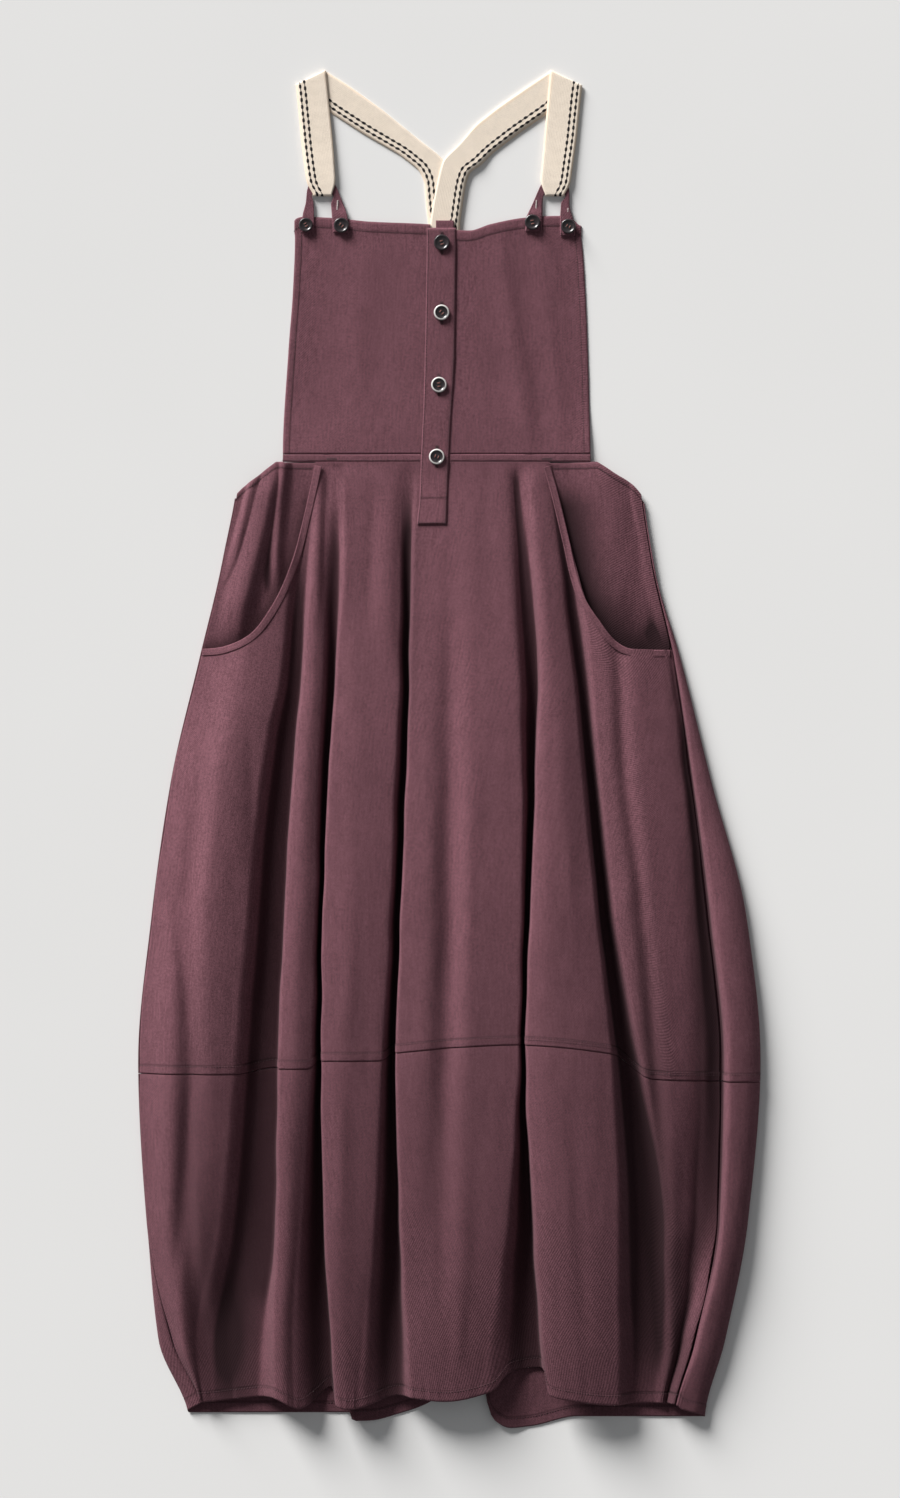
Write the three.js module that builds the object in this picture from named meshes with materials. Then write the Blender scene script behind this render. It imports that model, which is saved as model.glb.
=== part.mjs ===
import * as THREE from 'three';

// Cloth layers and seams, in millimetres
const CLOTH = 1.2;
const TAPE = 1.3;
const GAP = 0.3;
const SEAM_GAP = 0.6;
const SIDE_GAP = 1.6;
const CLOTH_STEP = CLOTH + GAP;
const TAPE_STEP = TAPE / 2 + CLOTH / 2 + GAP;
const RESTING = CLOTH / 2;
const TAPE_RESTING = TAPE / 2;

// Places along the garment: drop is measured down from the waist seam, rise is measured up from it
const WAIST_Y = 288;
const BAND_HEIGHT = 7;

// Bands folded and stitched down
const SEAM_BAND = 9;
const HEM_BAND = 11;
const BIB_HEM = 10;
const SIDE_HEM = 6.5;
const BAND_RAISE = 0.4;
const BAND_SLOPE = 1.5;

// The skirt is described at these drops
const LEVELS = [0, 98, 198, 318, 458, 598, 758, 878, 958];
const SEAM_LEVEL = 600;
const LOWEST_TOP = 240;
const LOWEST_HEM = 966;

// Rows of the skirt's grids
const FRONT_UPPER_ROWS = 13;
const BACK_UPPER_ROWS = 9;
const LOWER_ROWS = 8;

// Outline of the skirt and the side seams, x at each level
const OUTLINE = {
  left: [-212, -227.5, -251, -279, -299, -312, -303, -292, -262],
  right: [191, 202.5, 231, 261, 297, 310.5, 298, 275, 255],
  leftSeam: [-210.5, -226, -249.5, -277.5, -297.5, -310.3, -302, -277, -244],
  leftSeamHeight: [4, 4, 4, 4, 4, 4, 5, 6, 6],
  rightSeam: [189.5, 201, 222, 234, 252, 266.5, 260, 239, 221],
  rightSeamHeight: [4, 4, 4, 4, 4, 4, 5, 7, 8],
};

// Ridges of the front, from left to right: crest height at each level, and crest place between its edges
const RIDGES = [
  { name: 'outer left', crest: [6, 9, 12, 20, 27, 29, 26, 18, 13], place: 0.68, steps: [5, 2] },
  { name: 'left', crest: [5.5, 9, 15, 25, 31, 32, 29, 25, 21], place: 0.5, steps: [2, 2] },
  { name: 'inner left', crest: [5.5, 9, 17, 28, 33, 34, 34, 31, 29], place: 0.45, steps: [3, 2] },
  { name: 'centre', crest: [5.5, 9, 17, 28, 34, 34, 32, 29, 27], place: 0.5, steps: [3, 3] },
  { name: 'inner right', crest: [5.5, 10, 19, 30, 36, 37, 37, 35, 33], place: 0.5, steps: [3, 2] },
  { name: 'outer right', crest: [5.5, 8, 12, 18, 22, 23, 23, 21, 17], place: 0.42, steps: [3, 2] },
];
const EDGE_SHARE = 0.93;
const OUTER_RIGHT_EDGE = [182, 194, 216, 229, 245, 260, 247, 231, 214];
const BACK_RIDGE = [4.2, 4.4, 7, 13, 21, 25, 25, 21, 17];

// Valleys of the front, from left to right: where the cloth rolls off, the floor, the next ridge's
// edge, the run of the wall up to that edge, and how deep the valley is from 0 to 1
const VALLEYS = [
  {
    name: 'outer left',
    roll: [-150, -160, -175, -195, -208, -219, -238, -238, -216],
    floor: [-146, -154, -167, -181, -193, -205, -211, -228, -208],
    edge: [-131, -137, -144, -156, -166, -170, -172, -174, -172],
    run: [8, 8, 7, 5, 4, 4, 8, 20, 20],
    depth: [0.2, 0.4, 0.8, 1, 1, 1, 0.9, 0.5, 0.4],
  },
  {
    name: 'left',
    roll: [-124, -128, -130, -136, -138, -142, -157, -157, -153],
    floor: [-120, -122, -123, -128, -134, -135, -133, -128, -124],
    edge: [-105, -104, -113, -121, -128, -129, -125, -119, -116],
    run: [12, 12, 6, 3, 2.5, 2.5, 3, 3, 3],
    depth: [0.3, 0.6, 0.9, 1, 1, 1, 1, 1, 0.9],
  },
  {
    name: 'inner left',
    roll: [-50, -52, -53, -57, -70, -71, -82, -88, -92],
    floor: [-45, -45, -49, -50, -58, -62, -64, -76, -76],
    edge: [-32, -35, -38, -42, -49, -53.5, -50, -40, -32],
    run: [10, 8, 7, 4, 3, 3, 5, 18, 24],
    depth: [0.3, 0.6, 0.8, 1, 1, 1, 1, 0.7, 0.5],
  },
  {
    name: 'inner right',
    roll: [58, 63, 63, 65, 65, 64, 48, 25, 32],
    floor: [64, 66, 74, 79, 72, 68, 66, 54, 52],
    edge: [78, 85, 90, 86, 79, 74, 83, 91, 102],
    run: [10, 12, 6, 3, 2.5, 2.5, 6, 12, 20],
    depth: [0.3, 0.6, 0.9, 1, 1, 1, 1, 0.8, 0.6],
  },
  {
    name: 'right',
    roll: [98, 110, 121, 132, 147, 160, 166, 165, 166],
    floor: [101, 113, 124, 135, 150, 163, 169, 168, 169],
    edge: [116, 136, 150, 157, 173, 190, 208, 208, 200],
    run: [9, 14, 18, 16, 16, 17, 24, 26, 22],
    depth: [0.2, 0.5, 0.8, 1, 1, 1, 1, 0.9, 0.8],
  },
];
const VALLEY_FLOOR = [4.2, 4.2, 4.2, 4, 3, 2.8, 2.8, 2.8, 2.8];
const FLOOR_WIDTH = 2.6;
const SEAM_FLAT = 1.8;

// Shallow troughs along the ridges
const TROUGHS = [
  {
    name: 'outer left',
    x: [-195, -205, -226, -246, -267, -266, -266, -256, -240],
    depth: [0, 0, 1, 3, 6, 7, 6, 3, 1],
    width: 11,
  },
  {
    name: 'inner left',
    x: [-80, -80, -78, -76, -80, -90, -95, -100, -105],
    depth: [0.3, 1.2, 1.5, 1, 1, 1.5, 2, 2.5, 2.5],
    width: 14,
  },
  {
    name: 'centre',
    x: [0, 0, 0, -1, -3, -6, -9, -6, -4],
    depth: [0, 0.6, 2.5, 4, 4.5, 4, 2, 1, 1],
    width: 17,
  },
  {
    name: 'outer right',
    x: [150, 158, 168, 175, 192, 204, 213, 214, 206],
    depth: [0, 0.5, 2, 3, 3.5, 3, 1.5, 1, 0],
    width: 9,
  },
];

// Curves across the garment, as x and drop
const LEFT_MOUTH = [
  [-250, 187],
  [-227, 185],
  [-200, 173],
  [-178, 145],
  [-158, 100],
  [-146, 54],
  [-134, 0],
];
const RIGHT_MOUTH = [
  [99, 0],
  [106, 24],
  [120, 82],
  [126, 110],
  [135, 137],
  [149, 159],
  [165, 179],
  [180, 187],
  [224, 188],
];
const SEAM_DROPS = [
  [-312, 611],
  [-215, 611],
  [-170, 605],
  [-142, 605],
  [-129, 597],
  [-71, 597],
  [-53, 589],
  [69, 581],
  [160, 590],
  [200, 616],
  [311, 619],
];
const FRONT_HEM_DROPS = [
  [-250, 939],
  [-178, 933],
  [-150, 944],
  [-132, 934],
  [-117, 924],
  [-112, 941],
  [-100, 944],
  [-50, 932],
  [-5, 936],
  [40, 927],
  [61, 908],
  [93, 905],
  [98, 929],
  [117, 934],
  [166, 940],
  [225, 940],
];
const BACK_HEM_DROPS = [
  [-264, 950],
  [-99.5, 950],
  [-97, 958],
  [-81, 958],
  [-50, 951],
  [-14, 936],
  [-8, 926],
  [35, 926],
  [38, 943],
  [44, 957],
  [61, 965.5],
  [80, 964],
  [128, 954],
  [257, 954],
];
const HIP_TOP_DROPS = [
  [-219, 35],
  [-167, 1],
  [140, 1],
  [195, 43],
];

// Small tucks that the back keeps at its hem: place of the fold, its height and how far it runs out
const BACK_TUCKS = [
  { x: -98, height: 6, reach: 34 },
  { x: 37, height: 7, reach: 40 },
];
const TUCK_DROPS = [790, 930];
const TUCK_FOLD = 2.5;
const TUCK_REST = 12;
const TUCK_SLOPE = 0.4;

// How the back rolls up from the floor at either side: distance from the edge, and height
const SIDE_ROLL = [
  { inset: 4, z: RESTING },
  { inset: 1.4, z: 1 },
  { inset: RESTING, z: 2.3 },
];

// Ends of the back's hem where it shows beside the front's
const BACK_TOP_HEM = [941, 953];
const BACK_SIDE_HEM = [950, 940];
const BACK_SET_DOWN = 4;

// Creases of the hip panels: top and bottom ends as x and drop, height and half width
const HIP_CREASES = [
  { top: [-196, 22], bottom: [-230, 122], height: 3.4, width: 6 },
  { top: [-164, 12], bottom: [-168, 100], height: 2.4, width: 5 },
  { top: [142, 6], bottom: [163, 150], height: 2.2, width: 7 },
  { top: [189, 52], bottom: [200, 92], height: 1.8, width: 5 },
];
const HIP_HEIGHT = 2.25;
const HIP_TOP_HEIGHT = 3.1;
const HIP_TOP_FADE = 30;
const HIP_INNER_X = { left: -118, right: 88 };
const HIP_LENGTH = 258;
const HIP_ROWS = 13;
const HIP_ROW_GROWTH = 1.2;
const HIP_SHARES = [0, 0.03, 0.1, 0.2, 0.32, 0.45, 0.57, 0.68, 0.78, 0.88, 1];
const TUCKED_IN = 7.5;
const TUCKED_DROPS = [158, 182];

// Bindings: offsets of the strip's edges from the pocket mouth, and the share of the mouth it covers
const BINDING_EDGES = [0.9, 7.6];
const BINDING_LIFT = 0.45;
const BINDING_ROWS = 26;
const LEFT_BINDING_RUN = [0.035, 0.98];
const RIGHT_BINDING_RUN = [0.02, 0.955];

// Bib: heights of the low tent over the braces, and its soft waves
const BIB_MIDDLE_X = -5;
const BIB_FLAT = 22;
const BIB_HALF_WIDTH = { left: 150, right: 138 };
const BIB_MIDDLE_HEIGHTS = [4, 5.5];
const BIB_MIDDLE_RISES = [90, 40];
const BIB_SIDE_HEIGHT = 3.6;
const BIB_SIDE_FADE = 60;
const BIB_WAVES = [
  { x: 62, lean: -0.16, height: 0.8, width: 10 },
  { x: 102, lean: -0.1, height: 0.6, width: 9 },
  { x: -92, lean: 0.08, height: 0.5, width: 12 },
];
const BIB_WAVE_RISE = 120;
const BIB_ROWS = 12;
const BIB_SHARES = [0.12, 0.26, 0.4, 0.54, 0.68, 0.82, 0.92];
const BIB_NOMINAL_TOP = 230;
const WAIST_BAND_ENDS = [-167, 140.4];
const WAIST_BAND_COLUMNS = 23;

// Bib outline, as x and rise
const BIB_LEFT_EDGE = [
  [7, -167],
  [113, -161.5],
  [173, -157],
  [223, -155],
  [245, -157.5],
];
const BIB_RIGHT_EDGE = [
  [7, 140.4],
  [54, 139.5],
  [139, 137],
  [206, 133.6],
  [245, 130.5],
];
const BIB_TOP_RISES = [
  [-158, 238],
  [-154, 243],
  [-148, 245],
  [-119, 244],
  [-80, 240],
  [-18, 237],
  [5, 231.5],
  [19, 231],
  [41, 237.5],
  [75, 244],
  [110, 246],
  [123, 242],
  [131, 236],
];
const PLACKET_LEFT_EDGE = [
  [-63, -32.7],
  [-37, -30.3],
  [4, -29],
  [89, -25.6],
  [234, -23.4],
];
const PLACKET_RIGHT_EDGE = [
  [-63, -3.2],
  [-37, -2.4],
  [34, 0.5],
  [110, 5],
  [234, 6],
];
const PLACKET_TOP = 233.5;
const PLACKET_FOOT = -63;
const PLACKET_ROWS = 15;
const PLACKET_SHARES = [0, 0.33, 0.67, 1];
const PLACKET_LIFT = 0.15;
const STAND_TOP = 241;

// How far the bib's halves and the stand reach under the placket
const LEFT_UNDERLAP = 4;
const RIGHT_UNDERLAP = 1.7;
const STAND_INSET = 2;

// Buttons: centre as x and rise, and diameter
const PLACKET_BUTTONS = [
  { x: -8.2, rise: 218.6, diameter: 16 },
  { x: -8.4, rise: 148.8, diameter: 15.6 },
  { x: -11, rise: 76.6, diameter: 15.6 },
  { x: -13.2, rise: 4.7, diameter: 15.6 },
];
const TAB_BUTTONS = [
  { x: -144, rise: 236.6, diameter: 14 },
  { x: -108.5, rise: 236, diameter: 15.2 },
  { x: 82.4, rise: 239.1, diameter: 15.6 },
  { x: 118.2, rise: 235.1, diameter: 14.8 },
];
const BUTTON_HEIGHT = 3.2;
const BUTTON_SIDES = 16;

// Turned profile of a button, as shares of its radius and height, and where it rests on the cloth
const BUTTON_PROFILE = [
  { out: 0, up: 0 },
  { out: 0.72, up: 0 },
  { out: 1, up: 0.35 },
  { out: 1, up: 0.75 },
  { out: 0.85, up: 1 },
  { out: 0.6, up: 0.62 },
  { out: 0, up: 0.55 },
];
const BUTTON_FOOT = 0.7;
const FOOT_POINTS = 8;

// Brace tapes: both edges of the tape at stations along it, as x and rise, and the tape's height
const tapeRow = (outerX, outerRise, innerX, innerRise, height) => ({
  outerX, outerRise, innerX, innerRise, height,
});
const LOOP_HEIGHT = TAPE_RESTING + 2 * TAPE_STEP;
const CROSSED = TAPE_RESTING + TAPE + GAP - 0.05;
const SEWN_ON = CLOTH + GAP + TAPE_RESTING;
const LEFT_TAPE = {
  loop: [
    tapeRow(-140.5, 286, -116, 286, TAPE_RESTING),
    tapeRow(-138, 270, -117.5, 270, TAPE_RESTING),
  ],
  loopTurn: tapeRow(-137, 267.5, -118, 267.5, LOOP_HEIGHT),
  front: [
    tapeRow(-138, 270, -117.5, 270, LOOP_HEIGHT),
    tapeRow(-143, 277, -114, 278, LOOP_HEIGHT),
    tapeRow(-146, 297, -115.5, 300, 3.2),
    tapeRow(-148.4, 317, -117, 322, 2.5),
    tapeRow(-152.3, 357, -120.5, 356, 2.25),
  ],
  topTurn: tapeRow(-154, 376, -124, 390.5, 2.25),
  back: [
    tapeRow(-119, 349, -101, 376, TAPE_RESTING),
    tapeRow(-85, 327, -67, 351.5, TAPE_RESTING),
    tapeRow(-50, 307, -32, 323, TAPE_RESTING),
    tapeRow(-31, 292, -10, 306, TAPE_RESTING),
    tapeRow(-25.5, 280, 2, 292, TAPE_RESTING),
    tapeRow(-25, 268, 6, 277, TAPE_RESTING),
    tapeRow(-23, 248, 8, 252, TAPE_RESTING),
    tapeRow(-21.5, 238, 9, 238, TAPE_RESTING),
    tapeRow(-21, 160, 9, 160, TAPE_RESTING),
    tapeRow(-21, 24, 9, 24, TAPE_RESTING),
    tapeRow(-21, 2, 9, 2, SEWN_ON),
    tapeRow(-21, -18, 9, -18, SEWN_ON),
  ],
};
const RIGHT_TAPE = {
  loop: [
    tapeRow(121.5, 286, 91, 286, TAPE_RESTING),
    tapeRow(116, 270, 94.5, 270, TAPE_RESTING),
  ],
  loopTurn: tapeRow(114.5, 267.5, 95, 267.5, LOOP_HEIGHT),
  front: [
    tapeRow(116, 270, 94.5, 270, LOOP_HEIGHT),
    tapeRow(120, 276, 90, 278, LOOP_HEIGHT),
    tapeRow(123, 297, 92, 300, 3.2),
    tapeRow(126.5, 322, 94, 322, 2.5),
    tapeRow(130, 356, 97, 356, 2.25),
  ],
  topTurn: tapeRow(132, 375, 100, 390.5, 2.25),
  back: [
    tapeRow(96, 347, 78, 376, TAPE_RESTING),
    tapeRow(67, 327, 49, 356, TAPE_RESTING),
    tapeRow(42, 308, 26, 338, TAPE_RESTING),
    tapeRow(30.5, 296, 7.5, 316, CROSSED),
    tapeRow(20, 290, -7, 303, CROSSED),
    tapeRow(16, 278, -11, 287, CROSSED),
    tapeRow(13, 259, -17, 259, CROSSED),
    tapeRow(10, 238, -20, 239, CROSSED),
    tapeRow(9, 160, -21, 160, CROSSED),
    tapeRow(9, 24, -21, 24, CROSSED),
    tapeRow(9, 2, -21, 2, SEWN_ON + TAPE + GAP - 0.05),
    tapeRow(9, -18, -21, -18, SEWN_ON + TAPE + GAP - 0.05),
  ],
};

// Button tabs: one strip each, down to the bib, through the tape's loop and down again
const TAB_HEIGHT = TAPE_RESTING + TAPE_STEP;
const LEFT_TAB = [
  tapeRow(-148.5, 229, -135.5, 229, TAB_HEIGHT),
  tapeRow(-148.2, 239, -135.6, 239, TAB_HEIGHT),
  tapeRow(-147, 248, -135.8, 248, TAB_HEIGHT),
  tapeRow(-144, 259, -136.3, 260, TAB_HEIGHT),
  tapeRow(-143, 271, -138.5, 266, TAB_HEIGHT),
  tapeRow(-141, 278, -136, 269.2, TAB_HEIGHT),
  tapeRow(-129, 280.5, -128, 270, TAB_HEIGHT),
  tapeRow(-117, 280, -119, 269.2, TAB_HEIGHT),
  tapeRow(-113.5, 275, -116.2, 265.5, TAB_HEIGHT),
  tapeRow(-105, 253.4, -119, 258, TAB_HEIGHT),
  tapeRow(-102, 244, -118, 246, TAB_HEIGHT),
  tapeRow(-101.5, 229, -117, 229, TAB_HEIGHT),
];
const RIGHT_TAB = [
  tapeRow(125, 226, 110, 226, TAB_HEIGHT),
  tapeRow(124.5, 236, 110, 236, TAB_HEIGHT),
  tapeRow(122.5, 245, 110, 245, TAB_HEIGHT),
  tapeRow(119.4, 255, 111, 259, TAB_HEIGHT),
  tapeRow(119.5, 271, 116, 265.5, TAB_HEIGHT),
  tapeRow(117, 277, 113.5, 269.2, TAB_HEIGHT),
  tapeRow(105, 280.5, 105, 270, TAB_HEIGHT),
  tapeRow(92.5, 279.5, 96, 269.2, TAB_HEIGHT),
  tapeRow(89.5, 274.3, 93.3, 265.5, TAB_HEIGHT),
  tapeRow(83, 259, 92.7, 260, TAB_HEIGHT),
  tapeRow(76, 244, 92.4, 246, TAB_HEIGHT),
  tapeRow(75, 230, 91.5, 230, TAB_HEIGHT),
];

// Colours and finishes
const twill = new THREE.MeshStandardMaterial({ color: 0x6b4652, roughness: 0.92, metalness: 0 });
const twillInside = new THREE.MeshStandardMaterial({ color: 0x5a3a46, roughness: 0.94, metalness: 0 });
const wovenTape = new THREE.MeshStandardMaterial({ color: 0xe9dcc6, roughness: 0.9, metalness: 0 });
const darkButton = new THREE.MeshStandardMaterial({ color: 0x1c181b, roughness: 0.35, metalness: 0 });

// Interpolation
const mix = (a, b, t) => a + (b - a) * t;
const clamp = (value) => Math.min(1, Math.max(0, value));
const soften = (t) => clamp(t) ** 2 * (3 - 2 * clamp(t));
const crown = (t) => Math.sin((t * Math.PI) / 2);
const brow = (t) => 1 - Math.cos((t * Math.PI) / 2);
const bell = (offset) => Math.exp(-offset * offset);

function slopeAt(stations, values, k) {
  if (k === 0 || k === stations.length - 1) {
    return 0;
  }
  const before = (values[k] - values[k - 1]) / (stations[k] - stations[k - 1]);
  const after = (values[k + 1] - values[k]) / (stations[k + 1] - stations[k]);
  return before * after <= 0 ? 0 : (2 * before * after) / (before + after);
}

// Smooth value that keeps to the given ones and never overshoots them
function follow(values, at, stations = LEVELS) {
  const last = stations.length - 1;
  const place = Math.min(stations[last], Math.max(stations[0], at));
  let k = 0;
  while (k < last - 1 && place > stations[k + 1]) {
    k += 1;
  }
  const span = stations[k + 1] - stations[k];
  const t = (place - stations[k]) / span;
  const startSlope = slopeAt(stations, values, k) * span;
  const endSlope = slopeAt(stations, values, k + 1) * span;
  return (
    values[k] * (2 * t ** 3 - 3 * t ** 2 + 1) +
    startSlope * (t ** 3 - 2 * t ** 2 + t) +
    values[k + 1] * (3 * t ** 2 - 2 * t ** 3) +
    endSlope * (t ** 3 - t ** 2)
  );
}

// Straight stretches between the points of a short curve
function onCurve(curve, at) {
  let k = 0;
  while (k < curve.length - 2 && at > curve[k + 1][0]) {
    k += 1;
  }
  const [x0, y0] = curve[k];
  const [x1, y1] = curve[k + 1];
  return mix(y0, y1, clamp((at - x0) / (x1 - x0)));
}

// Drop at which a column of cloth meets a curve across the garment
function meets(column, curveDrop, lowest) {
  let high = 0;
  let low = lowest;
  for (let turn = 0; turn < 30; turn += 1) {
    const middle = (high + low) / 2;
    if (middle < curveDrop(column(middle).x)) {
      high = middle;
    } else {
      low = middle;
    }
  }
  return (high + low) / 2;
}

// Closed cloth wall round a grid of middle points, raised outside or inside where a band is stitched
function wall(grid, thickness, raise = () => [0, 0]) {
  const rows = grid.length;
  const columns = grid[0].length;
  const outer = [];
  const inner = [];
  for (let i = 0; i < rows; i += 1) {
    for (let j = 0; j < columns; j += 1) {
      const down = new THREE.Vector3().subVectors(
        grid[Math.min(rows - 1, i + 1)][j],
        grid[Math.max(0, i - 1)][j],
      );
      const across = new THREE.Vector3().subVectors(
        grid[i][Math.min(columns - 1, j + 1)],
        grid[i][Math.max(0, j - 1)],
      );
      const normal = down.cross(across).normalize();
      const [out, inside] = raise(i, j);
      outer.push(grid[i][j].clone().addScaledVector(normal, thickness / 2 + out));
      inner.push(grid[i][j].clone().addScaledVector(normal, -thickness / 2 - inside));
    }
  }
  const at = (i, j) => i * columns + j;
  const under = (i, j) => rows * columns + i * columns + j;
  const faces = [];
  const quad = (a, b, c, d) => faces.push(a, b, c, a, c, d);
  for (let i = 0; i < rows - 1; i += 1) {
    for (let j = 0; j < columns - 1; j += 1) {
      quad(at(i, j), at(i + 1, j), at(i + 1, j + 1), at(i, j + 1));
      quad(under(i, j), under(i, j + 1), under(i + 1, j + 1), under(i + 1, j));
    }
  }
  for (let i = 0; i < rows - 1; i += 1) {
    quad(at(i, 0), under(i, 0), under(i + 1, 0), at(i + 1, 0));
    quad(at(i + 1, columns - 1), under(i + 1, columns - 1), under(i, columns - 1), at(i, columns - 1));
  }
  for (let j = 0; j < columns - 1; j += 1) {
    quad(at(0, j + 1), under(0, j + 1), under(0, j), at(0, j));
    quad(at(rows - 1, j), under(rows - 1, j), under(rows - 1, j + 1), at(rows - 1, j + 1));
  }
  const geometry = new THREE.BufferGeometry();
  geometry.setAttribute(
    'position',
    new THREE.Float32BufferAttribute([...outer, ...inner].flatMap((p) => p.toArray()), 3),
  );
  geometry.setIndex(faces);
  geometry.computeVertexNormals();
  return geometry;
}

// Height of a grid's faceted middle surface over a place
function heightAt(grid, x, y) {
  const inTriangle = (a, b, c) => {
    const area = (b.x - a.x) * (c.y - a.y) - (c.x - a.x) * (b.y - a.y);
    const shareB = ((x - a.x) * (c.y - a.y) - (c.x - a.x) * (y - a.y)) / area;
    const shareC = ((b.x - a.x) * (y - a.y) - (x - a.x) * (b.y - a.y)) / area;
    const inside = shareB >= -1e-6 && shareC >= -1e-6 && shareB + shareC <= 1 + 1e-6;
    return inside ? a.z + (b.z - a.z) * shareB + (c.z - a.z) * shareC : -Infinity;
  };
  let height = -Infinity;
  for (let i = 0; i < grid.length - 1; i += 1) {
    for (let j = 0; j < grid[0].length - 1; j += 1) {
      const [a, b, c, d] = [grid[i][j], grid[i + 1][j], grid[i + 1][j + 1], grid[i][j + 1]];
      height = Math.max(height, inTriangle(a, b, c), inTriangle(a, c, d));
    }
  }
  return height;
}

// Section of the front across all its ridges and valleys at one drop
function frontSection(drop) {
  const stops = [];
  const add = (x, z, steps, ease) => stops.push({ x, z, steps, ease });
  const crestOf = (k) => follow(RIDGES[k].crest, drop);
  let ridgeStart = follow(OUTLINE.leftSeam, drop);
  add(ridgeStart, follow(OUTLINE.leftSeamHeight, drop), RIDGES[0].steps[0], crown);
  for (let k = 0; k < RIDGES.length; k += 1) {
    const crest = crestOf(k);
    const valley = VALLEYS[k];
    const ridgeEnd = valley ? follow(valley.roll, drop) : follow(OUTER_RIGHT_EDGE, drop);
    if (k > 0) {
      add(ridgeStart, crest * EDGE_SHARE, RIDGES[k].steps[0], crown);
    }
    add(mix(ridgeStart, ridgeEnd, RIDGES[k].place), crest, RIDGES[k].steps[1], brow);
    add(ridgeEnd, crest * EDGE_SHARE, 3, soften);
    if (valley) {
      const floorHeight = mix(
        Math.min(crest, crestOf(k + 1)) * EDGE_SHARE,
        follow(VALLEY_FLOOR, drop),
        follow(valley.depth, drop),
      );
      const edge = follow(valley.edge, drop);
      const floor = follow(valley.floor, drop);
      add(floor, floorHeight, 1, soften);
      add(Math.max(floor + FLOOR_WIDTH, edge - follow(valley.run, drop)), floorHeight, 2, brow);
      ridgeStart = edge;
    }
  }
  const rightSeam = follow(OUTLINE.rightSeam, drop);
  const rightHeight = follow(OUTLINE.rightSeamHeight, drop);
  add(rightSeam - SEAM_FLAT, rightHeight, 1, soften);
  add(rightSeam, rightHeight, 0, soften);
  return spread(stops).map(({ x, z }) => ({ x, z: z - troughDepth(x, drop) }));
}

function troughDepth(x, drop) {
  return TROUGHS.reduce(
    (sum, trough) =>
      sum + follow(trough.depth, drop) * bell((x - follow(trough.x, drop)) / trough.width),
    0,
  );
}

// Points along a section, with each stretch shaped by its own ease
function spread(stops) {
  const points = [];
  stops.forEach((stop, k) => {
    const next = stops[k + 1];
    for (let step = 0; next && step < stop.steps; step += 1) {
      const t = step / stop.steps;
      points.push({ x: mix(stop.x, next.x, t), z: mix(stop.z, next.z, stop.ease(t)) });
    }
    if (!next) {
      points.push({ x: stop.x, z: stop.z });
    }
  });
  return points;
}

// Section of the back at one drop: from the right seam over the side ridge, under and up to the left
function backSection(drop) {
  const left = follow(OUTLINE.left, drop);
  const right = follow(OUTLINE.right, drop);
  const rightSeam = follow(OUTLINE.rightSeam, drop) + SIDE_GAP;
  const rightHeight = follow(OUTLINE.rightSeamHeight, drop);
  const ridge = follow(BACK_RIDGE, drop);
  const crestX = mix(rightSeam, right, 0.5);
  const flatEnd = rightSeam + Math.min(SEAM_FLAT, (crestX - rightSeam) / 3);
  const points = [{ x: rightSeam, z: rightHeight }];
  for (let step = 0; step < 4; step += 1) {
    const t = step / 4;
    points.push({ x: mix(flatEnd, crestX, t * t), z: mix(rightHeight, ridge, crown(t)) });
  }
  const rollTop = SIDE_ROLL[SIDE_ROLL.length - 1];
  for (let step = 0; step < 4; step += 1) {
    const t = step / 4;
    points.push({ x: mix(crestX, right - rollTop.inset, crown(t)), z: mix(ridge, rollTop.z, brow(t)) });
  }
  for (const { inset, z } of [...SIDE_ROLL].reverse()) {
    points.push({ x: right - inset, z });
  }
  for (const tuck of [...BACK_TUCKS].reverse()) {
    const lift = tuck.height * soften((drop - TUCK_DROPS[0]) / (TUCK_DROPS[1] - TUCK_DROPS[0]));
    points.push(
      { x: tuck.x + tuck.reach + TUCK_REST, z: RESTING },
      { x: tuck.x + tuck.reach, z: RESTING },
      { x: tuck.x + tuck.reach * TUCK_SLOPE, z: RESTING + lift * (1 - TUCK_SLOPE) },
      { x: tuck.x, z: RESTING + lift },
      { x: tuck.x - TUCK_FOLD, z: RESTING },
      { x: tuck.x - TUCK_REST, z: RESTING },
    );
  }
  points.push({ x: mix(left, BACK_TUCKS[0].x, 0.5), z: RESTING });
  for (const { inset, z } of SIDE_ROLL) {
    points.push({ x: left + inset, z });
  }
  const seam = follow(OUTLINE.leftSeam, drop) - 2 * GAP;
  const seamHeight = follow(OUTLINE.leftSeamHeight, drop) - 2 * GAP;
  points.push(
    { x: mix(left + rollTop.inset, seam, 0.5), z: mix(rollTop.z, seamHeight, 0.6) },
    { x: seam, z: seamHeight },
  );
  return points;
}
const BACK_TOP_POINTS = 9;
const BACK_LAST_POINTS = 3;

const point = (x, drop, z) => new THREE.Vector3(x, WAIST_Y - drop, z);

// Grid between two curves: each column runs from its own top to its own bottom
function skirtGrid(section, tops, bottoms, count, band) {
  const shares = Array.from({ length: count }, (_, i) => i / (count - 1));
  return [...shares, 'band', 'end'].map((share) =>
    tops.map((top, j) => {
      const bottom = bottoms[j];
      const body = mix(top, bottom - band - BAND_SLOPE, share);
      const drop = share === 'band' ? bottom - band : share === 'end' ? bottom : body;
      const { x, z } = section(drop)[j];
      return point(x, drop, z);
    }),
  );
}

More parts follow.
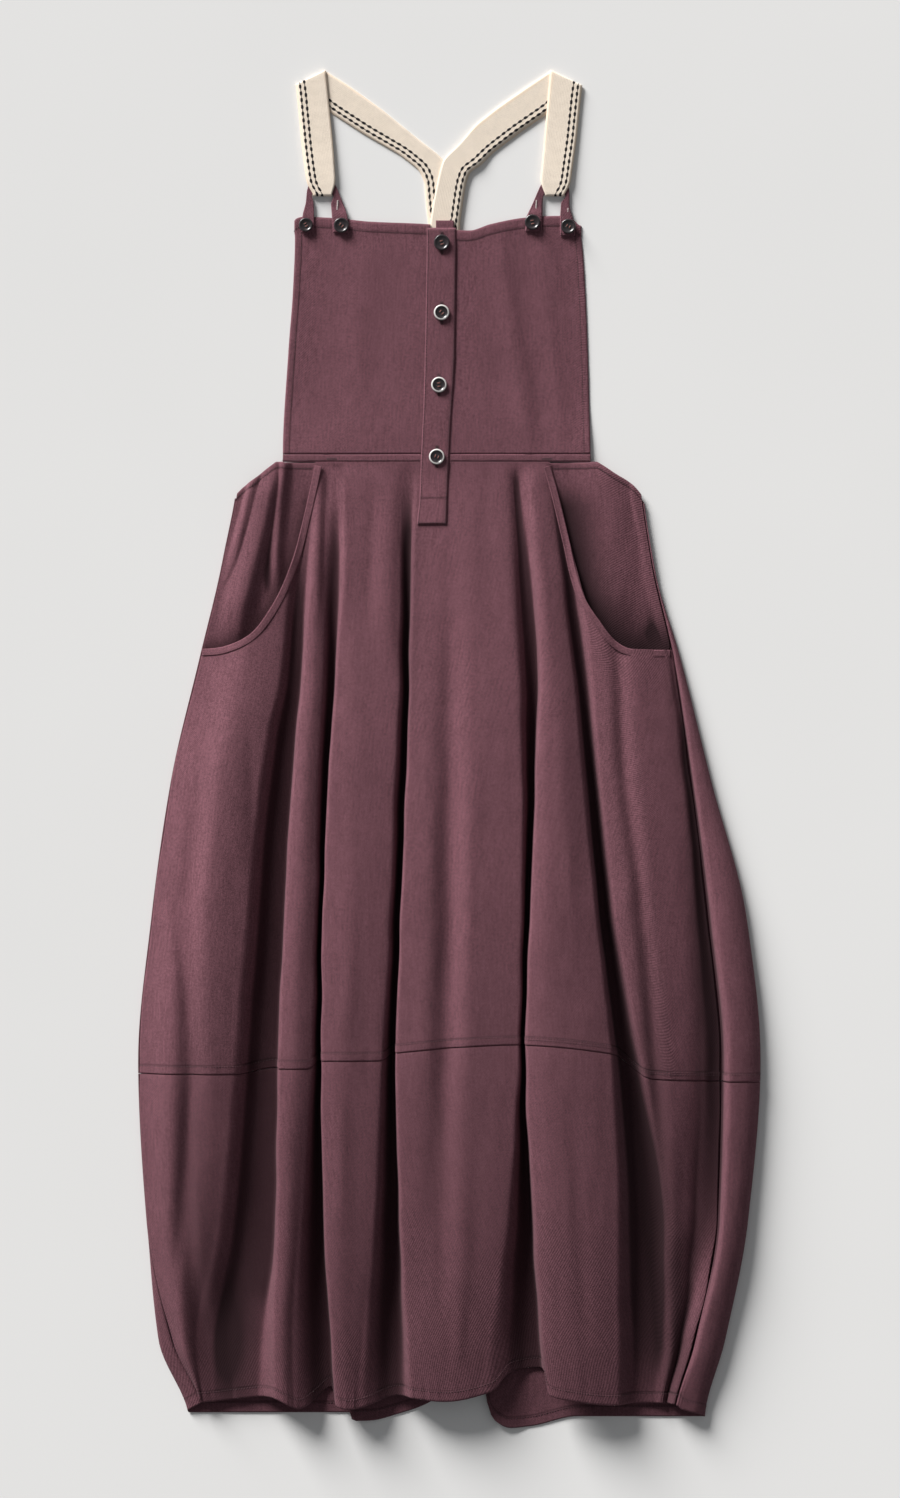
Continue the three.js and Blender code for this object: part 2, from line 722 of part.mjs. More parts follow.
// Front of the skirt
const frontColumns = frontSection(0).map((_, j) => (drop) => frontSection(drop)[j]);
const mouthDrop = (x) => (x < 0 ? onCurve(LEFT_MOUTH, x) : onCurve(RIGHT_MOUTH, x));
const frontHemDrop = (x) => onCurve(FRONT_HEM_DROPS, x);
const frontTops = frontColumns.map((column) => meets(column, mouthDrop, LOWEST_TOP) + GAP / 2);
const frontSeams = frontColumns.map((column) => onCurve(SEAM_DROPS, column(SEAM_LEVEL).x));
const frontHems = frontColumns.map((column) => meets(column, frontHemDrop, LOWEST_HEM));
const frontUpper = skirtGrid(frontSection, frontTops, frontSeams, FRONT_UPPER_ROWS, SEAM_BAND);
const frontLower = skirtGrid(
  frontSection,
  frontSeams.map((drop) => drop + SEAM_GAP),
  frontHems,
  LOWER_ROWS,
  HEM_BAND,
);

// Back of the skirt
const backColumns = backSection(0).map((_, j) => (drop) => backSection(drop)[j]);
const backLast = backColumns.length - 1;
const onTop = (j) => j < BACK_TOP_POINTS;
const onLeftSide = (j) => j > backLast - BACK_LAST_POINTS;
const hipTopDrop = (x) => onCurve(HIP_TOP_DROPS, x);
const backHemDrop = (x) => onCurve(BACK_HEM_DROPS, x);
const backTops = backColumns.map((column) =>
  meets(column, (x) => hipTopDrop(x) + BACK_SET_DOWN, LOWEST_TOP),
);
const backSeams = backColumns.map((column) => onCurve(SEAM_DROPS, column(SEAM_LEVEL).x));
const backHems = backColumns.map((column, j) => {
  if (onTop(j)) {
    return mix(...BACK_TOP_HEM, j / BACK_TOP_POINTS);
  }
  if (onLeftSide(j)) {
    return mix(...BACK_SIDE_HEM, (j - backLast + BACK_LAST_POINTS) / BACK_LAST_POINTS);
  }
  return meets(column, backHemDrop, LOWEST_HEM);
});
const backUpper = skirtGrid(backSection, backTops, backSeams, BACK_UPPER_ROWS, SEAM_BAND);
const backLower = skirtGrid(
  backSection,
  backSeams.map((drop) => drop + SEAM_GAP),
  backHems,
  LOWER_ROWS,
  HEM_BAND,
);

// The stitched band is raised on the last two rows of a panel
const bandRaise = (grid) => (i) => [i >= grid.length - 2 ? BAND_RAISE : 0, 0];
const backRaise = (grid, insideToo) => (i, j) => {
  const banded = i >= grid.length - 2;
  const outside = banded && onTop(j) && j < BACK_TOP_POINTS - 2;
  const inside = banded && insideToo && !onTop(j) && !onLeftSide(j);
  return [outside ? BAND_RAISE : 0, inside ? BAND_RAISE : 0];
};

// Hip panels: they lie inside the pocket mouths and run on down as the back of the pocket
function hipHeight(x, drop) {
  const crease = HIP_CREASES.reduce((highest, { top, bottom, height, width }) => {
    const along = (drop - top[1]) / (bottom[1] - top[1]);
    const middle = mix(top[0], bottom[0], along);
    const fade = soften((along + 0.3) / 0.4) * soften((1.3 - along) / 0.5);
    return Math.max(highest, height * fade * bell((x - middle) / width));
  }, 0);
  const toWaist = (HIP_TOP_HEIGHT - HIP_HEIGHT) * bell(drop / HIP_TOP_FADE);
  return HIP_HEIGHT + Math.max(crease, toWaist);
}

function hipGrid(side) {
  const seam = side < 0 ? OUTLINE.leftSeam : OUTLINE.rightSeam;
  const inner = side < 0 ? HIP_INNER_X.left : HIP_INNER_X.right;
  const bandRows = [0, SEAM_BAND];
  const shares = side < 0 ? HIP_SHARES : [...HIP_SHARES].reverse();
  return Array.from({ length: HIP_ROWS }, (_, i) =>
    shares.map((share) => {
      const along = ((i - bandRows.length) / (HIP_ROWS - bandRows.length - 1)) ** HIP_ROW_GROWTH;
      const down = bandRows[i] ?? SEAM_BAND + BAND_SLOPE + along * HIP_LENGTH;
      const outerAt = (drop) => {
        const tuckedIn = soften((drop - TUCKED_DROPS[0]) / (TUCKED_DROPS[1] - TUCKED_DROPS[0]));
        const x = follow(seam, drop) - side * (GAP + TUCKED_IN * tuckedIn);
        return { x, z: mix(OUTLINE.leftSeamHeight[0], HIP_HEIGHT, tuckedIn) };
      };
      const column = (drop) => ({ x: mix(outerAt(drop).x, inner, share) });
      const top = meets(column, hipTopDrop, LOWEST_TOP) + GAP;
      const drop = top + down;
      const x = column(drop).x;
      const z = mix(outerAt(drop).z, hipHeight(x, drop), soften(share * 8));
      return point(x, drop, z);
    }),
  );
}

// Bindings round the pocket mouths, laid on the front's own surface
function bindingGrid(mouth, run) {
  const curve = new THREE.CatmullRomCurve3(
    mouth.map(([x, drop]) => new THREE.Vector3(x, drop, 0)),
    false,
    'centripetal',
  );
  return Array.from({ length: BINDING_ROWS }, (_, i) => {
    const t = mix(run[0], run[1], i / (BINDING_ROWS - 1));
    const at = curve.getPointAt(t);
    const tangent = curve.getTangentAt(t);
    const inward = new THREE.Vector3(-tangent.y, tangent.x, 0);
    return BINDING_EDGES.map((offset) => {
      const place = at.clone().addScaledVector(inward, offset);
      const below = heightAt(frontUpper, place.x, WAIST_Y - place.y);
      return point(place.x, place.y, below + CLOTH_STEP + BINDING_LIFT);
    });
  });
}

// Bib: a low tent over the braces that lie flat beneath it
function bibHeight(x, rise) {
  const nearWaist = soften(1 - rise / BIB_SIDE_FADE);
  const [high, low] = BIB_MIDDLE_RISES;
  const middle = mix(...BIB_MIDDLE_HEIGHTS, soften((high - rise) / (high - low)));
  const side = mix(RESTING, BIB_SIDE_HEIGHT, nearWaist);
  const halfWidth = x < BIB_MIDDLE_X ? BIB_HALF_WIDTH.left : BIB_HALF_WIDTH.right;
  const towardSide = soften((Math.abs(x - BIB_MIDDLE_X) - BIB_FLAT) / (halfWidth - BIB_FLAT));
  const wave = BIB_WAVES.reduce(
    (sum, { x: middleX, lean, height, width }) =>
      sum + height * bell((x - middleX - lean * (rise - BIB_WAVE_RISE)) / width),
    0,
  );
  const fade = soften(rise / 40) * soften((250 - rise) / 60);
  return mix(middle, side, towardSide) + wave * fade;
}

function bibGrid(leftAt, rightAt, topAt, hems) {
  const topRows = [0, BIB_HEM, BIB_HEM + BAND_SLOPE];
  const acrossAt = (left, right) => {
    const leftBand = hems.left ? [0, SIDE_HEM, SIDE_HEM + BAND_SLOPE] : [0];
    const rightBand = hems.right ? [SIDE_HEM + BAND_SLOPE, SIDE_HEM, 0] : [0];
    const shares = hems.plain ? [0.5] : BIB_SHARES;
    return [
      ...leftBand.map((offset) => left + offset),
      ...shares.map((share) => mix(left, right, share)),
      ...rightBand.map((offset) => right - offset),
    ];
  };
  return Array.from({ length: BIB_ROWS }, (_, i) => {
    const share = (i - topRows.length + 1) / (BIB_ROWS - topRows.length);
    const nominal = mix(BIB_NOMINAL_TOP, BAND_HEIGHT + GAP, Math.max(0, share));
    return acrossAt(leftAt(nominal), rightAt(nominal)).map((x) => {
      const top = topAt(x);
      const body = mix(top - BIB_HEM - BAND_SLOPE, BAND_HEIGHT + GAP, share);
      const rise = i < topRows.length ? top - topRows[i] : body;
      return point(x, -rise, bibHeight(x, rise));
    });
  });
}

const bibTop = (x) => onCurve(BIB_TOP_RISES, x);
const placketLeft = (rise) => onCurve(PLACKET_LEFT_EDGE, rise);
const placketRight = (rise) => onCurve(PLACKET_RIGHT_EDGE, rise);
const bibLeft = bibGrid(
  (rise) => onCurve(BIB_LEFT_EDGE, rise),
  (rise) => placketLeft(rise) + LEFT_UNDERLAP,
  bibTop,
  { left: true },
);
const bibRight = bibGrid(
  (rise) => placketRight(rise) - RIGHT_UNDERLAP,
  (rise) => onCurve(BIB_RIGHT_EDGE, rise),
  bibTop,
  { right: true },
);
const buttonStand = bibGrid(
  (rise) => placketLeft(rise) + LEFT_UNDERLAP + GAP,
  (rise) => placketRight(rise) - STAND_INSET,
  () => STAND_TOP,
  { plain: true },
);
const bibRaise = (hem, columns) => (i, j) => {
  const onSide = hem === 'left' ? j < 2 : j > columns - 3;
  return [i < 2 || onSide ? BAND_RAISE * 0.8 : 0, 0];
};

// Waist band, between the bib and the skirt
const bandColumns = Array.from({ length: WAIST_BAND_COLUMNS }, (_, j) =>
  mix(...WAIST_BAND_ENDS, j / (WAIST_BAND_COLUMNS - 1)),
);
const waistBand = [BAND_HEIGHT, GAP / 2].map((rise) =>
  bandColumns.map((x) => point(x, -rise, bibHeight(x, 0))),
);

// Placket, laid over the stand, the band and the top of the skirt
const underPlacket = (x, rise) =>
  rise > 0 ? bibHeight(x, rise) : Math.max(bibHeight(x, 0), heightAt(frontUpper, x, WAIST_Y + rise));
const placket = Array.from({ length: PLACKET_ROWS }, (_, i) => {
  const rise = mix(PLACKET_TOP, PLACKET_FOOT, i / (PLACKET_ROWS - 1));
  return PLACKET_SHARES.map((share) => {
    const x = mix(placketLeft(rise), placketRight(rise), share);
    return point(x, -rise, underPlacket(x, rise) + CLOTH_STEP + PLACKET_LIFT);
  });
});

// Half turn of a tape round a line, from one layer to the other
function turn(row, lowHeight, outward, steps = 4) {
  const middle = (row.height + lowHeight) / 2;
  const radius = Math.abs(row.height - lowHeight) / 2;
  return Array.from({ length: steps + 1 }, (_, k) => {
    const angle = Math.PI / 2 - (k / steps) * Math.PI;
    const reach = radius * Math.cos(angle);
    return tapeRow(
      row.outerX + outward[0] * reach,
      row.outerRise + outward[1] * reach,
      row.innerX + outward[0] * reach,
      row.innerRise + outward[1] * reach,
      middle + radius * Math.sin(angle),
    );
  });
}

const ribbonGrid = (rows) =>
  rows.map((row) => [
    point(row.outerX, -row.outerRise, row.height),
    point(row.innerX, -row.innerRise, row.height),
  ]);

function tapeGrid(tape) {
  const { outerX, outerRise, innerX, innerRise } = tape.topTurn;
  const length = Math.hypot(innerX - outerX, innerRise - outerRise);
  const side = Math.sign(innerX - outerX);
  const outward = [(-side * (innerRise - outerRise)) / length, (side * (innerX - outerX)) / length];
  return ribbonGrid([
    ...tape.loop,
    ...turn(tape.loopTurn, TAPE_RESTING, [0, -1]).reverse(),
    ...tape.front,
    ...turn(tape.topTurn, TAPE_RESTING, outward),
    ...tape.back,
  ]);
}

function tabGrid(rows) {
  return ribbonGrid(rows).map((row) =>
    row.map((p) => {
      const rise = p.y - WAIST_Y;
      const onBib = rise < 250 ? bibHeight(p.x, rise) + CLOTH_STEP + BAND_RAISE : 0;
      return new THREE.Vector3(p.x, p.y, Math.max(p.z, onBib));
    }),
  );
}
const tabLeft = tabGrid(LEFT_TAB);
const tabRight = tabGrid(RIGHT_TAB);

// Buttons, turned with a rounded rim and a shallow dish
function buttonMesh(name, { x, rise, diameter }, carrier) {
  const radius = diameter / 2;
  const profile = BUTTON_PROFILE.map(({ out, up }) => new THREE.Vector2(radius * out, BUTTON_HEIGHT * up));
  const button = new THREE.Mesh(new THREE.LatheGeometry(profile, BUTTON_SIDES), darkButton);
  button.name = name;
  button.rotation.x = Math.PI / 2;
  const y = WAIST_Y + rise;
  const reach = radius * BUTTON_FOOT;
  const foot = Array.from({ length: FOOT_POINTS }, (_, k) => (k * 2 * Math.PI) / FOOT_POINTS);
  const under = foot.map((a) => heightAt(carrier, x + reach * Math.cos(a), y + reach * Math.sin(a)));
  const seat = Math.max(heightAt(carrier, x, y), ...under);
  button.position.set(x, y, seat + CLOTH / 2 + GAP);
  return button;
}

// The dress
const model = new THREE.Group();
function addPiece(name, geometry, material) {
  const mesh = new THREE.Mesh(geometry, material);
  mesh.name = name;
  model.add(mesh);
}
addPiece('back_skirt_upper', wall(backUpper, CLOTH, backRaise(backUpper, false)), twill);
addPiece('back_skirt_lower', wall(backLower, CLOTH, backRaise(backLower, true)), twill);
addPiece('front_skirt_upper', wall(frontUpper, CLOTH, bandRaise(frontUpper)), twill);
addPiece('front_skirt_lower', wall(frontLower, CLOTH, bandRaise(frontLower)), twill);
for (const [name, side] of [['hip_panel_left', -1], ['hip_panel_right', 1]]) {
  addPiece(name, wall(hipGrid(side), CLOTH, (i) => [i < 2 ? BAND_RAISE : 0, 0]), twillInside);
}
addPiece('pocket_binding_left', wall(bindingGrid(LEFT_MOUTH, LEFT_BINDING_RUN), CLOTH), twill);
addPiece('pocket_binding_right', wall(bindingGrid(RIGHT_MOUTH, RIGHT_BINDING_RUN), CLOTH), twill);
addPiece('bib_left', wall(bibLeft, CLOTH, bibRaise('left', bibLeft[0].length)), twill);
addPiece('bib_right', wall(bibRight, CLOTH, bibRaise('right', bibRight[0].length)), twill);
addPiece('button_stand', wall(buttonStand, CLOTH), twill);
addPiece('waist_band', wall(waistBand, CLOTH), twill);
addPiece('placket', wall(placket, CLOTH), twill);
addPiece('strap_left', wall(tapeGrid(LEFT_TAPE), TAPE), wovenTape);
addPiece('strap_right', wall(tapeGrid(RIGHT_TAPE), TAPE), wovenTape);
addPiece('tab_left', wall(tabLeft, CLOTH), twill);
addPiece('tab_right', wall(tabRight, CLOTH), twill);
PLACKET_BUTTONS.forEach((button, k) => {
  model.add(buttonMesh(`button_placket_${k + 1}`, button, placket));
});
TAB_BUTTONS.forEach((button, k) => {
  model.add(buttonMesh(`button_tab_${k + 1}`, button, k < 2 ? tabLeft : tabRight));
});

// The origin is the middle of the garment's outline, on the surface that it lies on
const outline = new THREE.Box3().setFromObject(model);
const middle = outline.getCenter(new THREE.Vector3());
model.position.set(-middle.x, -middle.y, -outline.min.z);

export default model;
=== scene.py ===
import math

import bpy
import numpy as np
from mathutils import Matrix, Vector


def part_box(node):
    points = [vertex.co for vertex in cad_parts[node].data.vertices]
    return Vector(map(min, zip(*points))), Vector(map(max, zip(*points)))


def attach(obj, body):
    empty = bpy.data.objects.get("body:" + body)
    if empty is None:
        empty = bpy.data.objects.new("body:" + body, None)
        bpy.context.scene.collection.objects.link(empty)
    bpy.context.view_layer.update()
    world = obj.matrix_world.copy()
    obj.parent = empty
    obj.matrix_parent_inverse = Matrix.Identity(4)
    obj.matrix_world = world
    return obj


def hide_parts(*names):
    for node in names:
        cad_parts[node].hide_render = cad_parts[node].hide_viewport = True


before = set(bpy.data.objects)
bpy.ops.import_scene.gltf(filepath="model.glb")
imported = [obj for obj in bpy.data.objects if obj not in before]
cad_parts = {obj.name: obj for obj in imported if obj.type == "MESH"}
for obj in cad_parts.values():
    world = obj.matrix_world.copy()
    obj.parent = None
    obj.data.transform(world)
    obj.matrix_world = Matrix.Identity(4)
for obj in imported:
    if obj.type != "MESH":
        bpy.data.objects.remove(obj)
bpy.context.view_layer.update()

bl_info = {
    "name": "Pinafore dress, laid flat",
    "version": (1, 0, 0),
    "blender": (4, 5, 0),
    "location": "3D View > Sidebar > Pinafore",
    "description": "Makes the cloth, braces, buttons and stitching of a pinafore dress",
    "category": "Object",
}

# Tables are in millimetres: x to the right, drop down from the waist seam, rise up from it
MM = 0.001
ORIGIN_X = 0.779
ORIGIN_Y = 286.216

# Cloth layers, seams and bands
CLOTH = 1.2
TAPE = 1.3
GAP = 0.3
SEAM_GAP = 0.6
SIDE_GAP = 1.6
CLOTH_STEP = CLOTH + GAP
TAPE_STEP = TAPE / 2 + CLOTH / 2 + GAP
RESTING = CLOTH / 2
TAPE_RESTING = TAPE / 2
BAND_HEIGHT = 7
SEAM_BAND = 9
HIP_BAND = 6
HEM_BAND = 11
BIB_HEM = 10
SIDE_HEM = 6.5
BAND_RAISE = 0.4
BAND_SLOPE = 1.5
EDGE_REACH = 1.6
SEAM_FLAT = 1.8
FLOOR_WIDTH = 2
EDGE_SHARE = 0.93
# Strength of the painted shade deep in the folds
FOLD_SHADE = 0.85
STITCH_LIFT = 0.12

# The skirt is described at these drops
LEVELS = [0, 98, 198, 318, 458, 598, 758, 878, 958]
SEAM_LEVEL = 600
LOWEST = 972
DROP_STEP = 4
UPPER_ROWS = {"front": 96, "back": 72}
LOWER_ROWS = {"front": 54, "back": 44}
BAND_ROWS = {"front": 9, "back upper": 7, "back lower": 8}
RIM_SHARE = 0.0007
HIP_ROWS = 84
HIP_COLUMNS = 76
HIP_SPREAD = 1.15
BINDING_STATIONS = 210
BINDING_COLUMNS = 9
BIB_ROWS = 92
BIB_COLUMNS = 66
STAND_COLUMNS = 14
WAIST_BAND_GRID = (10, 220)
PLACKET_GRID = (190, 22)
TAPE_COLUMNS = 14
TAB_COLUMNS = 12

OUTLINE = {
    "left": [-212, -227.5, -251, -279, -299, -312, -303, -292, -262],
    "right": [191, 202.5, 231, 261, 297, 310.5, 298, 275, 255],
    "left_seam": [-210.5, -226, -249.5, -277.5, -297.5, -310.3, -302, -277, -244],
    "left_seam_height": [4, 4, 4, 4, 4, 4, 5, 6, 6],
    "right_seam": [189.5, 201, 223, 240, 257, 270, 266, 243, 222],
    "right_seam_height": [4, 4, 4, 4, 4, 4, 7, 14, 15],
}
RIDGES = [
    {"crest": [6, 12.5, 18, 26, 28, 28, 25, 18, 12], "place": 0.58, "fall": 0.8},  # outer left
    {"crest": [6, 13.5, 20, 29, 33, 33, 30, 27, 24], "place": 0.44, "fall": 0.84},  # left
    {"crest": [6, 13, 21, 30, 34, 35, 34, 31, 28], "place": 0.38, "fall": 0.82},  # inner left
    {"crest": [6, 13, 21, 30, 35, 35, 32, 29, 26], "place": 0.38, "fall": 0.82},  # centre
    {"crest": [6, 14, 23, 32, 37, 37, 37, 34, 30], "place": 0.24, "fall": 0.72},  # inner right
    {"crest": [6, 12, 16, 20, 22, 22, 18, 11, 8], "place": 0.18, "fall": 0.42},  # outer right
]
OUTER_RIGHT_EDGE = [182, 194, 217, 231, 244, 251, 244, 231, 214]
BACK_RIDGE = [4.2, 4.4, 6.5, 11.5, 18, 21, 21, 18, 14]
VALLEYS = [
    {  # outer left
        "roll": [-150, -160, -170, -192, -206, -218, -232, -254, -248],
        "floor": [-141, -148, -156, -171, -182, -190, -203, -219, -216],
        "edge": [-131, -137, -145, -155, -164, -169, -172, -175, -173],
        "run": [6, 6, 4, 3, 3, 3, 4, 14, 20],
        "depth": [0.3, 0.6, 1, 1, 1, 1, 1, 0.8, 0.6],
        "low": [4.2, 4.2, 4, 3.4, 2.5, 2.5, 2.5, 2.8, 2.8],
    },
    {  # left
        "roll": [-124, -126, -128, -131, -134, -137, -150, -157, -156],
        "floor": [-114, -114, -119, -124, -129, -130.5, -130, -125, -121],
        "edge": [-105, -106, -112.5, -119.5, -126, -127, -124, -117, -112],
        "run": [8, 6, 3, 2.4, 2, 2, 3, 3, 3],
        "depth": [0.7, 1, 1, 1, 1, 1, 1, 1, 0.9],
        "low": [4.2, 4.2, 4, 3.4, 2.5, 2.5, 2.5, 2.5, 2.8],
    },
    {  # inner left
        "roll": [-50, -52, -51, -55, -60, -68, -77, -87, -92],
        "floor": [-40, -43, -44, -47, -53, -57, -58, -58, -58],
        "edge": [-32, -37, -39, -42.5, -48.5, -53, -49, -42, -38],
        "run": [8, 5, 3, 2.4, 2, 2, 4, 10, 14],
        "depth": [0.6, 1, 1, 1, 1, 1, 1, 0.9, 0.7],
        "low": [3.8, 2.8, 2.5, 2.5, 2.5, 2.5, 2.5, 2.8, 2.8],
    },
    {  # inner right
        "roll": [58, 64, 66, 71, 71, 68.5, 55, 37, 29],
        "floor": [68, 75, 83, 81, 75.5, 72, 77, 82, 86],
        "edge": [78, 85, 90, 86, 80, 76, 84, 92, 98],
        "run": [8, 6, 4, 2.4, 2, 2, 3.5, 4, 5],
        "depth": [0.8, 1, 1, 1, 1, 1, 1, 1, 0.9],
        "low": [4.2, 3.4, 2.6, 2.5, 2.5, 2.5, 2.5, 2.5, 2.8],
    },
    {  # right
        "roll": [98, 108, 121, 131, 145, 160, 165, 165, 166],
        "floor": [106, 114, 127, 139, 151, 171, 184, 185, 184],
        "edge": [116, 127, 140, 150, 166, 192, 216, 219, 208],
        "run": [8, 10, 10, 10, 12, 14, 16, 14, 12],
        "depth": [0.4, 0.8, 1, 1, 1, 1, 1, 0.85, 0.6],
        "low": [4.2, 4.2, 4, 3.4, 2.5, 2.5, 2.5, 2.8, 2.8],
    },
]
TROUGHS = [
    {  # outer left
        "x": [-195, -205, -226, -246, -260, -259, -261, -248, -238],
        "depth": [0, 0, 1, 4, 8, 9.5, 8.5, 4, 1.5],
        "width": 12.5,
    },
    {  # inner left
        "x": [-80, -80, -78, -76, -80, -90, -95, -100, -105],
        "depth": [0.3, 1.2, 1.5, 1, 1, 1.5, 2, 2.5, 2.5],
        "width": 14,
    },
    {  # centre
        "x": [0, 0, 0, -1, -2, -5, -9, -6, -4],
        "depth": [0, 0.6, 2.5, 5, 7, 6, 3, 1, 1],
        "width": 13,
    },
    {  # outer right
        "x": [150, 158, 168, 175, 192, 204, 213, 214, 206],
        "depth": [0, 0.5, 3, 4, 4, 4.5, 2, 1, 0],
        "width": 7.5,
    },
]

# Places beside a fold that get painted shade, on top of the painted shade that their depth gives
HOLLOWS = [
    {  # low left
        "x": [-170, -175, -185, -200, -235, -254, -254, -232, -224],
        "painted_shade": [0, 0, 0, 0, 0, 0.25, 0.5, 0.5, 0.35],
        "width": 22,
    },
    {  # low right
        "x": [150, 158, 170, 182, 195, 203, 214, 225, 218],
        "painted_shade": [0, 0, 0, 0, 0.2, 0.55, 0.75, 0.75, 0.4],
        "width": 16,
    },
    {  # side seam right
        "x": [191, 202, 224, 242, 255, 262, 264, 243, 222],
        "painted_shade": [0, 0, 0.15, 0.45, 0.45, 0.15, 0, 0, 0],
        "width": 13,
    },
    {  # under the waist
        "x": [-34, -37, -39, -42, -48, -53, -49, -42, -38],
        "painted_shade": [0.1, 0.3, 0.3, 0.05, 0, 0, 0, 0, 0],
        "width": 12,
    },
]

# Curves across the garment, as x and drop
LEFT_MOUTH = [(-250, 187), (-227, 185), (-200, 173), (-178, 145), (-158, 100), (-146, 54), (-134, 0)]
RIGHT_MOUTH = [
    (99, 0), (106, 24), (120, 82), (126, 110), (135, 137), (149, 159), (165, 179), (180, 187), (224, 188),
]
SEAM_DROPS = [
    (-312, 611), (-215, 611), (-170, 605), (-142, 605), (-129, 597), (-71, 597), (-53, 589),
    (69, 581), (160, 590), (200, 616), (311, 619),
]
FRONT_HEM_DROPS = [
    (-250, 939), (-178, 933), (-150, 944), (-132, 934), (-117, 924), (-112, 941), (-100, 944), (-50, 932),
    (-5, 936), (40, 927), (61, 908), (93, 905), (98, 929), (117, 934), (166, 940), (225, 940),
]
BACK_HEM_DROPS = [
    (-264, 950), (-99.5, 950), (-97, 958), (-81, 958), (-50, 951), (-14, 936), (-8, 926), (35, 926),
    (38, 943), (44, 957), (61, 965.5), (80, 964), (128, 954), (257, 954),
]
HIP_TOP_DROPS = [
    (-219, 35), (-206, 25), (-194, 16), (-182, 6.4), (-173, -0.6), (-168.4, -4.6),
    (-167.3, -4.6), (-166.4, 0.6), (140, 0.6), (143, -1.6), (152, 3), (164, 11), (181, 21.5),
    (190, 31), (196, 40),
]
BACK_TUCKS = [{"x": -98, "height": 6, "reach": 34}, {"x": 37, "height": 7, "reach": 40}]
TUCK_DROPS = [790, 930]
TUCK_FOLD = 2.5
TUCK_REST = 12
TUCK_SLOPE = 0.4
SIDE_ROLL = [(4, RESTING), (1.4, 1), (RESTING, 2.3)]
BACK_TOP_HEM = [941, 953]
BACK_SIDE_HEM = [950, 940]
BACK_SET_DOWN = 4

# Creases: top and bottom ends as x and drop, height, half width; a hip crease has one to each side
HIP_CREASES = [
    ((-181, 20), (-209, 160), 9.5, (20, 10.5)),
    ((-167, 0), (-172, 112), 6.5, (6, 6.5)),
    ((-195, 14), (-230, 118), 7.5, (4.5, 14)),
    ((152, 0), (172, 160), 5.2, (26, 22)),
    ((188, 30), (206, 130), 4.4, (10, 7)),
]
HIP_HEIGHT = 2.25
HIP_TOP_HEIGHT = 3.1
POCKET_SHADE = {"left": (0.6, 8), "right": (1.0, 32)}
HIP_TOP_FADE = 30
HIP_INNER_X = {"left": -118, "right": 88}
HIP_LENGTH = 258
HIP_LOWEST = 240
TUCKED_IN = 7.5
TUCKED_DROPS = [184, 197]

BINDING_EDGES = [0.15, 7]
BINDING_THICKNESS = 0.8
BINDING_LIFT = 0.62
LEFT_BINDING_RUN = [0.012, 0.985]
RIGHT_BINDING_RUN = [0.015, 0.985]

BIB_MIDDLE_X = -5
BIB_FLAT = 22
BIB_HALF_WIDTH = {"left": 150, "right": 138}
BIB_MIDDLE_HEIGHTS = [4, 5.5]
BIB_MIDDLE_RISES = [90, 40]
BIB_SIDE_HEIGHT = 3.6
BIB_SIDE_FADE = 60
BIB_WAVES = [
    {"x": 62, "lean": -0.16, "height": 1.5, "width": 11},
    {"x": 102, "lean": -0.1, "height": 1.2, "width": 10},
    {"x": -92, "lean": 0.08, "height": 0.9, "width": 14},
]
BIB_WAVE_RISE = 120
WAIST_BAND_ENDS = [-167, 140.4]
BIB_LEFT_EDGE = [(7, -167), (113, -161.5), (173, -157), (223, -155), (245, -157.5)]
BIB_RIGHT_EDGE = [(7, 140.4), (54, 139.5), (139, 137), (206, 133.6), (245, 130.5)]
BIB_TOP_RISES = [
    (-158, 238), (-154, 243), (-148, 245), (-119, 244), (-80, 240), (-18, 237), (5, 231.5),
    (19, 231), (41, 237.5), (75, 244), (110, 246), (123, 242), (131, 236),
]
PLACKET_LEFT_EDGE = [(-63, -32.7), (-37, -30.3), (4, -29), (89, -25.6), (234, -23.4)]
PLACKET_RIGHT_EDGE = [(-63, -3.2), (-37, -2.4), (34, 0.5), (110, 5), (234, 6)]
PLACKET_TOP = 233.5
PLACKET_FOOT = -63
PLACKET_BOX = -37
PLACKET_THICKNESS = 0.8
PLACKET_LIFT = -0.1
STAND_TOP = 241
LEFT_UNDERLAP = 4
RIGHT_UNDERLAP = 1.7
STAND_INSET = 2

# Buttons: centre as x and rise, diameter, and whether the rim is pale
PLACKET_BUTTONS = [
    {"x": -8.2, "rise": 218.6, "diameter": 16, "pale_rim": False, "turn": 0.3},
    {"x": -8.4, "rise": 148.8, "diameter": 15.6, "pale_rim": True, "turn": 0.8},
    {"x": -11, "rise": 76.6, "diameter": 15.6, "pale_rim": True, "turn": 0.1},
    {"x": -13.2, "rise": 4.7, "diameter": 15.6, "pale_rim": True, "turn": 1.2},
]
TAB_BUTTONS = [
    {"x": -144, "rise": 236.6, "diameter": 14, "pale_rim": False, "turn": 0.5},
    {"x": -108.5, "rise": 236, "diameter": 15.2, "pale_rim": False, "turn": 0.9},
    {"x": 82.4, "rise": 239.1, "diameter": 15.6, "pale_rim": False, "turn": 0.2},
    {"x": 118.2, "rise": 235.1, "diameter": 14.8, "pale_rim": False, "turn": 1.1},
]
BUTTON_HEIGHT = 2.8

